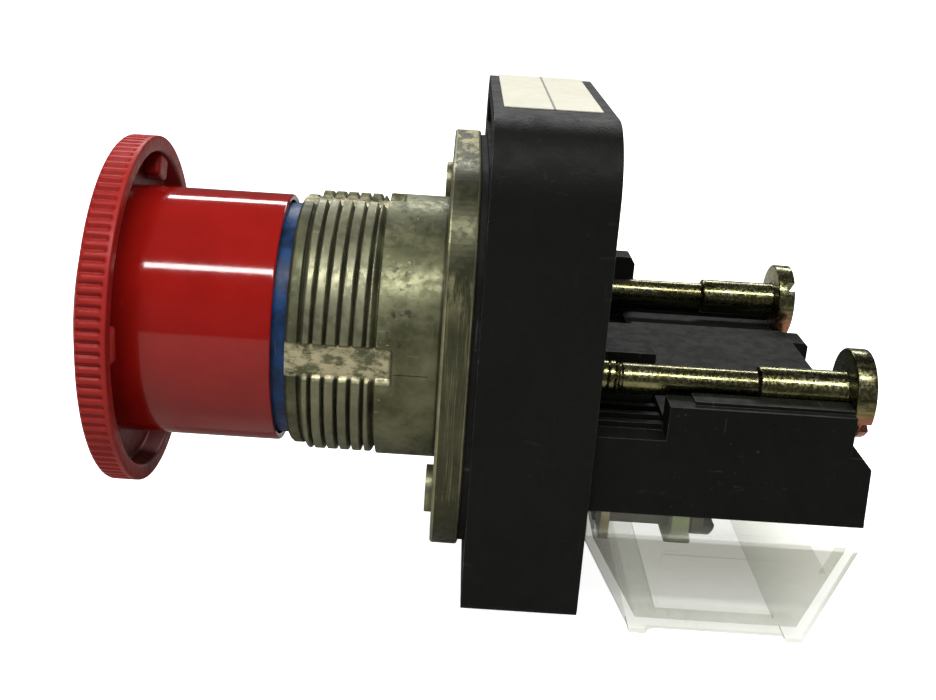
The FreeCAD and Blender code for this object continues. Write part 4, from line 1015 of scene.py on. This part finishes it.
class TurnedRules:
    """Geometry Nodes trees that move the surface of a piece turned about Y."""

    def __init__(self) -> None:
        """Builds both trees."""
        self.trees = {Rule.KNURL: self.build_knurl(), Rule.THREAD: self.build_thread()}

    @staticmethod
    def open_tree(rule: Rule, sizes: list[tuple[str, float]]) -> tuple:
        """Starts a tree with a geometry input, a material and named sizes.

        Args:
            rule: the rule, which names the tree.
            sizes: (name, default) of each size.

        Returns:
            Graph, inputs, output node, and the X, Y, Z, radius and angle of each point.
        """
        inputs = [("Geometry", GEOMETRY, None), ("Material", "NodeSocketMaterial", None)]
        inputs += [(label, FLOAT, value) for label, value in sizes]
        graph, given, end = new_tree(rule.value, "GeometryNodeTree", inputs, [("Geometry", GEOMETRY)])
        place = graph.add("GeometryNodeInputPosition").outputs[0]
        x, y, z = graph.add("ShaderNodeSeparateXYZ", {0: place}).outputs
        return graph, given, end, x, y, z, graph.radius(x, z), graph.calc("ARCTAN2", x, z)

    @staticmethod
    def close_tree(graph: Graph, given: dict, end: Node, x: Socket, z: Socket, radius: Socket,
                   rise: Socket) -> bpy.types.NodeTree:
        """Moves each point outwards, then realizes and dresses the result.

        Args:
            graph: the tree's graph.
            given: its inputs by label.
            end: its output node.
            x: each point's X.
            z: each point's Z.
            radius: each point's distance from the axis.
            rise: how far it moves outwards.

        Returns:
            The finished tree.
        """
        share = graph.calc("DIVIDE", rise, graph.calc("MAXIMUM", radius, POLE_RADIUS))
        offset = graph.add("ShaderNodeCombineXYZ", {0: graph.times(x, share), 2: graph.times(z, share)})
        moved = graph.add("GeometryNodeSetPosition", {"Geometry": given["Geometry"],
                                                      "Offset": offset.outputs[0]})
        real = graph.add("GeometryNodeRealizeInstances", {"Geometry": moved.outputs[0]})
        dressed = graph.add("GeometryNodeSetMaterial", {"Geometry": real.outputs[0],
                                                        "Material": given["Material"]})
        graph.link(dressed.outputs[0], end, 0)
        return graph.tree

    @staticmethod
    def band(graph: Graph, y: Socket, given: dict, fade: object) -> Socket:
        """A mask of the points between the Front and Rear sizes.

        Args:
            graph: the tree's graph.
            y: each point's Y.
            given: its inputs by label.
            fade: length over which the mask rises at each end.

        Returns:
            The mask.
        """
        front = graph.remap(y, given["Front"], graph.calc("ADD", given["Front"], fade))
        rear = graph.remap(y, given["Rear"], graph.calc("SUBTRACT", given["Rear"], fade))
        return graph.times(front, rear)

    @staticmethod
    def beyond(graph: Graph, value: Socket, limit: Socket, start: float, end: float) -> Socket:
        """A mask that steps from 0 to 1 between two distances short of a limit.

        Args:
            graph: the tree's graph.
            value: what is compared.
            limit: the limit.
            start: distance in millimetres at which the mask is 0.
            end: distance in millimetres at which it is 1.

        Returns:
            The mask.
        """
        low, high = (graph.calc("SUBTRACT", limit, gap * MM) if gap else limit for gap in (start, end))
        return graph.remap(value, low, high)

    def build_knurl(self) -> bpy.types.NodeTree:
        """Straight notches round a rim between two Y positions.

        Returns:
            The tree.
        """
        graph, given, end, x, y, z, radius, angle = self.open_tree(
            Rule.KNURL, [("Count", 104.0), ("Depth", 0.0004), ("Rim", 0.02), ("Front", -0.0367),
                         ("Rear", -0.0341)])
        half_turns = graph.times(angle, graph.times(given["Count"], 0.5))
        notch = graph.remap(graph.calc("ABSOLUTE", graph.calc("COSINE", half_turns)), 0.66, 0.88)
        near_rim = self.beyond(graph, radius, given["Rim"], 1.2, 0.7)
        depth = graph.times(notch, self.band(graph, y, given, 0.3 * MM), near_rim)
        rise = graph.times(depth, graph.times(given["Depth"], -1.0))
        return self.close_tree(graph, given, end, x, z, radius, rise)

    def build_thread(self) -> bpy.types.NodeTree:
        """One helical ridge on a root surface, cut by flat lanes along the axis.

        Returns:
            The tree.
        """
        graph, given, end, x, y, z, radius, angle = self.open_tree(
            Rule.THREAD, [("Pitch", 0.001411), ("Depth", 0.00085), ("Root", 0.01415), ("Front", -0.015),
                          ("Rear", -0.0069), ("Lane Half Width", 0.0018), ("Lane End", -0.0056)])
        turns = graph.calc("DIVIDE", angle, 2.0 * math.pi)
        phase = graph.calc("FRACT", graph.calc("ADD", graph.calc("DIVIDE", y, given["Pitch"]), turns))
        saw = graph.calc("ABSOLUTE", graph.calc("SUBTRACT", graph.times(phase, 2.0), 1.0))
        ridge = graph.remap(saw, 0.06, 0.34, smooth=False)
        band = self.band(graph, y, given, graph.times(given["Pitch"], 0.5))
        outer = self.beyond(graph, radius, given["Root"], 0.2, 0.1)
        raised = graph.calc("MULTIPLY_ADD", graph.times(ridge, band, given["Depth"]), outer, radius)
        aside = graph.reach("MINIMUM", x, z)
        lane = graph.times(self.beyond(graph, aside, given["Lane Half Width"], 0.0, 0.2),
                           self.beyond(graph, y, given["Lane End"], 0.0, 0.2))
        flat = graph.calc("MINIMUM", raised, given["Root"])
        drop = graph.times(graph.calc("SUBTRACT", flat, raised), lane)
        rise = graph.calc("SUBTRACT", graph.calc("ADD", raised, drop), radius)
        return self.close_tree(graph, given, end, x, z, radius, rise)

    def apply(self, obj: bpy.types.Object, rule: Rule, material: bpy.types.Material,
              **sizes: float) -> None:
        """Adds a rule to an object as a modifier with its own sizes.

        Args:
            obj: the turned piece.
            rule: which tree.
            material: the material that the tree sets.
            sizes: values by input name, with underscores for spaces, in metres.
        """
        tree = self.trees[rule]
        modifier = obj.modifiers.new(rule.value, "NODES")
        modifier.node_group = tree
        sockets = {item.name: item.identifier for item in tree.interface.items_tree
                   if item.in_out == "INPUT"}
        modifier[sockets["Material"]] = material
        for label, value in sizes.items():
            modifier[sockets[label.replace("_", " ")]] = float(value)


# ---- sub-assemblies ----------------------------------------------------------------------------

@dataclass
class MushroomHead:
    """The red head that is struck: knurled cap, front disc and polished skirt."""

    palette: Palette
    rules: TurnedRules
    radius: float = 20.0
    rear: float = -33.7
    rim_front: float = -36.7
    floor: float = -36.1
    skirt_radius: float = 14.3
    skirt_wall: float = 0.7
    skirt_rear: float = -18.03
    disc_rear: float = -38.3
    teeth: int = 104

    def build(self) -> None:
        """Builds and hands over every piece of the head."""
        self.build_cap()
        self.build_disc()
        self.build_skirt()

    def build_cap(self) -> None:
        """Turns the cap, then notches its rim."""
        spigot = self.skirt_radius - self.skirt_wall
        spigot_rear = self.floor + 3.5
        bore, recess, hub, disc = 3.05, 5.4, 6.5, 13.0
        hub_rear, recess_floor = -31.05, -35.98
        corners = [(bore, hub_rear), (bore, recess_floor), (recess, recess_floor),
                   (recess, self.disc_rear), (disc, self.disc_rear), (disc, -39.25), (19.6, -37.05),
                   (self.radius, self.rim_front), (self.radius, self.rear - 0.05),
                   (self.radius - 0.4, self.rear), (18.25, self.rear), (18.0, self.floor),
                   (spigot, self.floor), (spigot, spigot_rear), (spigot - 1.2, spigot_rear),
                   (spigot - 1.2, self.floor), (hub, self.floor), (hub, hub_rear)]
        profile = divide(soften(corners, 0.35), 0.16, (19.5, -37.2, -33.6))
        cap = lathe("head_cap", profile, self.teeth * 8)
        material = self.palette.get(RED_HEAD)
        self.rules.apply(cap, Rule.KNURL, material, Count=self.teeth, Depth=0.45 * MM,
                         Rim=self.radius * MM, Front=-0.0370, Rear=-0.0342)
        bake(cap)
        stops = (("lug", (-1.9, self.floor - 0.1, 15.4), (1.9, self.rear - 0.35, 18.2), -23.0),
                 ("tab", (-2.0, self.rear - 1.5, 17.0), (2.0, self.rear + 0.3, 18.6), 85.0))
        for name, low, high, turn in stops:
            lug = block("cap_" + name, low, high)
            lug.data.materials.append(material)
            round_edges(lug, 0.55)
            bake(lug)
            move(lug, 0.0, 0.0, turn)
            join(cap, lug)
        hand_over(cap, "head", RED_HEAD, "mushroom_cap")

    def build_disc(self) -> None:
        """Turns the flush front disc with a fine groove near its edge."""
        edge = 12.92
        corners = [(0.0, self.disc_rear), (edge, self.disc_rear), (edge, -39.2), (12.6, -39.35),
                   (11.9, -39.38), (11.7, -39.2), (11.5, -39.4), (7.8, -39.56), (3.0, -39.65),
                   (0.0, -39.67)]
        disc = lathe("head_disc", soften(corners, 0.12, closed=False), 128)
        disc.data.materials.append(self.palette.get(RED_HEAD))
        hand_over(disc, "head", RED_HEAD, "cap_disc")

    def build_skirt(self) -> None:
        """Turns the polished tube behind the cap."""
        inner = self.skirt_radius - self.skirt_wall
        corners = [(inner, self.floor), (self.skirt_radius, self.floor),
                   (self.skirt_radius, self.skirt_rear), (inner, self.skirt_rear)]
        skirt = lathe("head_skirt", soften(corners, 0.3, 5), 192)
        skirt.data.materials.append(self.palette.get(RED_SKIRT))
        hand_over(skirt, "head", RED_SKIRT, "button_skirt")


@dataclass
class Barrel:
    """The cast barrel with its thread and flange, the blue sleeve in it and the flange's screws."""

    palette: Palette
    rules: TurnedRules
    root: float = 14.15
    crest: float = 15.0
    plain: float = 15.15
    pitch: float = 1.411
    front: float = -16.54
    plain_front: float = -6.9
    flange_half: float = 21.5
    flange_corner: float = 12.0
    flange_rear: float = 3.06

    def build(self) -> None:
        """Builds and hands over every piece of the barrel."""
        self.build_bushing()
        sleeve = refined("blue_sleeve", "guide_sleeve", 0.18, 2, (self.palette.get(BLUE_SLEEVE),), 40.0)
        hand_over(sleeve, "housing", BLUE_SLEEVE, "guide_sleeve")
        screws = refined("flange_screw_pair", "flange_screws", 0.28, 3, (self.palette.get(ZINC_EDGE),), 40.0)
        hand_over(screws, "housing", ZINC, "flange_screws")

    def build_bushing(self) -> None:
        """Turns the barrel, raises its thread and adds the flange plate."""
        lead, bore, rear_bore, shaft_hole = 14.45, 13.0, 11.5, 4.05
        wall_front, wall_rear = -3.2, -1.2
        corners = [(bore, self.front), (self.root, self.front), (lead, self.front + 0.35),
                   (lead, -15.25), (self.root, -15.1), (self.root, self.plain_front - 0.05),
                   (self.plain, self.plain_front + 0.1), (self.plain, -4.6), (self.plain, 0.2),
                   (self.plain, self.flange_rear), (rear_bore, self.flange_rear),
                   (rear_bore, wall_rear), (shaft_hole, wall_rear), (shaft_hole, wall_front),
                   (bore, wall_front)]
        profile = divide(soften(corners, 0.06, 2), 0.1, (self.root - 0.2, -15.3, -4.4))
        barrel = lathe("cast_bushing", profile, 384)
        material = self.palette.get(ZINC)
        self.rules.apply(barrel, Rule.THREAD, material, Pitch=self.pitch * MM,
                         Depth=(self.crest - self.root) * MM, Root=self.root * MM, Front=-15.15 * MM,
                         Rear=(self.plain_front - 0.02) * MM, Lane_Half_Width=1.9 * MM,
                         Lane_End=-5.0 * MM)
        bake(barrel)
        half = self.flange_half
        square = [(half, half), (half, -half), (-half, -half), (-half, half)]
        plate = prism("flange_plate", self.round_square(square), 0.0, self.flange_rear)
        hole = lathe("flange_hole", [(0.0, -1.0), (15.0, -1.0), (15.0, 5.0), (0.0, 5.0)], 192)
        cut(plate, hole)
        for finish in (ZINC, ZINC_EDGE):
            plate.data.materials.append(self.palette.get(finish))
        round_edges(plate, 0.32, 3, 1, 50.0)
        bake(plate, hole)
        hand_over(barrel, "housing", ZINC, "threaded_bushing")
        hand_over(plate, "housing", ZINC)

    def round_square(self, square: list[Point]) -> list[Point]:
        """Rounds the flange's corners with true quarter circles.

        Args:
            square: its corners in millimetres, clockwise from the top right.

        Returns:
            The outline.
        """
        flat = self.flange_half - self.flange_corner
        steps = 32
        outline: list[Point] = []
        for index, (x, z) in enumerate(square):
            centre = (math.copysign(flat, x), math.copysign(flat, z))
            for step in range(steps + 1):
                angle = math.pi / 2 * (1 - index - step / steps)
                outline.append((centre[0] + self.flange_corner * math.cos(angle),
                                centre[1] + self.flange_corner * math.sin(angle)))
        return outline


@dataclass
class Base:
    """The moulded base and its label."""

    palette: Palette

    def build(self) -> None:
        """Builds and hands over every piece of the base."""
        shell = refined("base_shell", "base_housing", 0.45, 4,
                        (self.palette.get(BLACK_BASE), self.palette.get(BASE_EDGE)), 40.0)
        hand_over(shell, "housing", BLACK_BASE, "base_housing")
        label = refined("paper_label", "rating_label", 0.04, 2, (self.palette.get(LABEL),))
        hand_over(label, "housing", LABEL, "rating_label")


@dataclass
class ContactBlock:
    """The contact block with its terminals and the two captive screws that hold it."""

    palette: Palette
    rules: TurnedRules
    screw_x: float = 16.3
    screw_z: float = 1.07
    tip: float = 10.5
    thread_rear: float = 18.6
    block_rear: float = 41.9

    def build(self) -> None:
        """Builds and hands over every piece of the block."""
        black = (self.palette.get(BLACK_BLOCK), self.palette.get(BLACK_EDGE))
        for name, node, width in (("block_shell", "contact_block_housing", 0.16),
                                  ("block_cover", "contact_block_cover", 0.22)):
            hand_over(refined(name, node, width, 2, black), "housing", BLACK_BLOCK, node)
        for pair in ("nc", "no"):
            for place in ("inner", "outer"):
                self.build_terminal(pair + "_" + place)
        self.build_captive_screw("near_screw", 1.0, -58.0)
        self.build_captive_screw("far_screw", -1.0, 50.5)

    def build_terminal(self, name: str) -> None:
        """Refines the plate, screw and saddle of one terminal."""
        for part, finish, width in (("terminal_plate", BRASS, 0.1), ("terminal_screw", DARK_STEEL, 0.15),
                                    ("saddle_clamp", SADDLE, 0.3)):
            node = name + "_" + part
            piece = refined(name + "_" + part.split("_")[1], node, width, 2,
                            (self.palette.get(finish),), 40.0)
            hand_over(piece, "housing", finish, node)

    def build_captive_screw(self, body: str, side: float, slot_turn: float) -> None:
        """Turns a long screw, raises its thread and cuts its slot.

        Args:
            body: the CAD body it rides on.
            side: 1 for the +X side and -1 for the other.
            slot_turn: the slot's angle from upright in degrees.
        """
        root = 1.43
        head_rear = self.block_rear + 2.05
        corners = [(0.0, self.tip), (root - 0.4, self.tip), (root, self.tip + 0.4),
                   (root, self.thread_rear), (1.6, self.thread_rear + 0.35), (1.6, 32.75),
                   (2.15, 32.95), (2.15, self.block_rear), (4.6, self.block_rear),
                   (4.6, head_rear), (0.0, head_rear)]
        outline = soften(corners, 0.22, 3, closed=False)
        profile = divide(outline, 0.09, (root - 0.05, self.tip + 0.3, self.thread_rear + 0.1))
        screw = lathe(body + "_long", profile, 64)
        self.rules.apply(screw, Rule.THREAD, self.palette.get(CHROMATE), Pitch=0.75 * MM, Depth=0.31 * MM,
                         Root=root * MM, Front=(self.tip + 0.4) * MM, Rear=(self.thread_rear + 0.05) * MM,
                         Lane_Half_Width=-1.0, Lane_End=-1.0)
        slot = block(body + "_slot", (-0.6, head_rear - 1.05, -6.0), (0.6, head_rear + 1.0, 6.0))
        cut(screw, slot)
        bake(screw, slot)
        smooth(screw.data)
        move(screw, side * self.screw_x, self.screw_z, slot_turn)
        node = ("near" if side > 0 else "far") + "_captive_screw"
        hand_over(screw, body, CHROMATE, node)


@dataclass
class Guard:
    """The clear tray under the terminals."""

    palette: Palette

    def build(self) -> None:
        """Builds and hands over the tray."""
        tray = refined("clear_tray", "terminal_guard", 0.14, 2, (self.palette.get(CLEAR),))
        hand_over(tray, "housing", CLEAR, "terminal_guard")


@dataclass
class Core:
    """The CAD nodes inside the button that keep their own shape."""

    palette: Palette

    def dress(self) -> None:
        """Gives every CAD node a finish by its material slot."""
        by_slot = {"red_head": RED_HEAD, "red_skirt": RED_SKIRT, "blue_sleeve": BLUE_SLEEVE, "zinc": ZINC,
                   "steel": STEEL, "black_plastic": BLACK_INNER, "rubber": RUBBER, "brass": BRASS,
                   "label": LABEL, "chromate": CHROMATE, "clear_plastic": CLEAR}
        for entry in frame["record"]["subparts"]:
            node = frame["nodes"][entry["node"]]
            material = self.palette.get(by_slot[entry["material_slot"]])
            if not node.material_slots:
                LOG.info("%s has no material slot", node.name)
            for slot in node.material_slots:
                slot.link = "OBJECT"
                slot.material = material
            LOG.info("%s keeps its CAD shape unless replaced", node.name)


@dataclass
class Studio:
    """Floor, lights and camera."""

    floor_z: float = -26.0
    eye: tuple = (132.0, 0.77, 43.6)
    sight: tuple = (-0.9447, -0.0020, -0.3278)
    roll: float = 0.063

    def build(self) -> None:
        """Sets up the floor, the lights and the camera."""
        self.build_floor()
        self.build_world()
        for name, place, size, power, shows in (
                ("key_strip", (218.0, -10.0, 335.0), (30.0, 430.0), 1.35, True),
                ("rear_strip", (-330.0, -10.0, 235.0), (40.0, 430.0), 0.8, True),
                ("overhead", (20.0, 0.0, 460.0), (420.0, 520.0), 2.1, False),
                ("front_fill", (380.0, -120.0, 60.0), (260.0, 260.0), 0.5, False)):
            self.lamp(name, place, size, power, shows)
        self.build_camera()

    def build_floor(self) -> None:
        """A large floor that the guard's feet stand on, a glowing white to the camera."""
        build = bmesh.new()
        bmesh.ops.create_grid(build, x_segments=8, y_segments=8, size=6.0)
        mesh = bpy.data.meshes.new("floor")
        build.to_mesh(mesh)
        build.free()
        floor = new_object("floor", mesh)
        floor.location.z = self.floor_z * MM
        material = bpy.data.materials.new("pale_floor")
        material.use_nodes = True
        material.node_tree.nodes.clear()
        graph = Graph(material.node_tree)
        path = graph.add("ShaderNodeLightPath")
        sight = graph.calc("MAXIMUM", path.outputs["Is Camera Ray"], path.outputs["Is Transmission Ray"])
        seen = graph.add("ShaderNodeBsdfDiffuse", {"Color": (0.9, 0.9, 0.9, 1.0)})
        glow = graph.add("ShaderNodeEmission", {"Color": (1.0, 1.0, 1.0, 1.0), "Strength": 0.94})
        lit = graph.add("ShaderNodeAddShader", {0: seen.outputs[0], 1: glow.outputs[0]})
        dim = graph.add("ShaderNodeBsdfDiffuse", {"Color": (0.40, 0.39, 0.36, 1.0)})
        mixed = graph.add("ShaderNodeMixShader", {0: sight, 1: dim.outputs[0], 2: lit.outputs[0]})
        graph.add("ShaderNodeOutputMaterial", {"Surface": mixed.outputs[0]})
        mesh.materials.append(material)

    @staticmethod
    def build_world() -> None:
        """Soft white light from all round."""
        world = bpy.data.worlds.new("studio")
        world.use_nodes = True
        graph = Graph(world.node_tree)
        path = graph.add("ShaderNodeLightPath")
        background = world.node_tree.nodes["Background"]
        background.inputs[0].default_value = (1.0, 1.0, 1.0, 1.0)
        strength = graph.calc("MULTIPLY_ADD", path.outputs["Is Transmission Ray"], 0.75, 0.085)
        world.node_tree.links.new(strength, background.inputs[1])
        bpy.context.scene.world = world
        bpy.context.scene.view_settings.view_transform = "Standard"

    @staticmethod
    def lamp(name: str, place: tuple, size: tuple, power: float, shows: bool) -> None:
        """Adds a soft rectangular lamp that points at the object.

        Args:
            name: its name.
            place: where it hangs, in millimetres.
            size: its two sides in millimetres, the second along Y.
            power: watts.
            shows: whether glossy surfaces mirror it.
        """
        data = bpy.data.lights.new(name, "AREA")
        data.shape = "RECTANGLE"
        data.size = size[0] * MM
        data.size_y = size[1] * MM
        data.energy = power
        lamp = bpy.data.objects.new(name, data)
        bpy.context.scene.collection.objects.link(lamp)
        lamp.visible_glossy = shows
        toward = -Vector(place).normalized()
        side = Vector((0.0, 1.0, 0.0)).cross(-toward).normalized()
        up = (-toward).cross(side)
        axes = Matrix((side, up, -toward)).transposed().to_4x4()
        lamp.matrix_world = Matrix.Translation(Vector(place) * MM) @ axes

    def build_camera(self) -> None:
        """Looks down on the button's side with its axis falling slightly to the right."""
        data = bpy.data.cameras.new("camera")
        data.lens = 45.68
        data.sensor_width = 36.0
        data.shift_x = 0.0233
        data.shift_y = -0.0056
        data.clip_start = 0.005
        data.clip_end = 50.0
        camera = bpy.data.objects.new("camera", data)
        bpy.context.scene.collection.objects.link(camera)
        forward = Vector(self.sight).normalized()
        level = forward.cross(Vector((0.0, 0.0, 1.0))).normalized()
        upright = level.cross(forward)
        right = level * math.cos(self.roll) + upright * math.sin(self.roll)
        up = upright * math.cos(self.roll) - level * math.sin(self.roll)
        axes = Matrix((right, up, -forward)).transposed().to_4x4()
        camera.matrix_world = Matrix.Translation(Vector(self.eye) * MM) @ axes
        bpy.context.scene.camera = camera


def main() -> None:
    """Builds the studio and each sub-assembly over the frame."""
    logging.basicConfig(level=logging.INFO, format="%(message)s")
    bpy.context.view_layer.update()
    palette = Palette()
    rules = TurnedRules()
    Studio().build()
    Core(palette).dress()
    MushroomHead(palette, rules).build()
    Barrel(palette, rules).build()
    Base(palette).build()
    ContactBlock(palette, rules).build()
    Guard(palette).build()
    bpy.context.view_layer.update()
    LOG.info("boxes written")


if __name__ == "__main__":
    main()
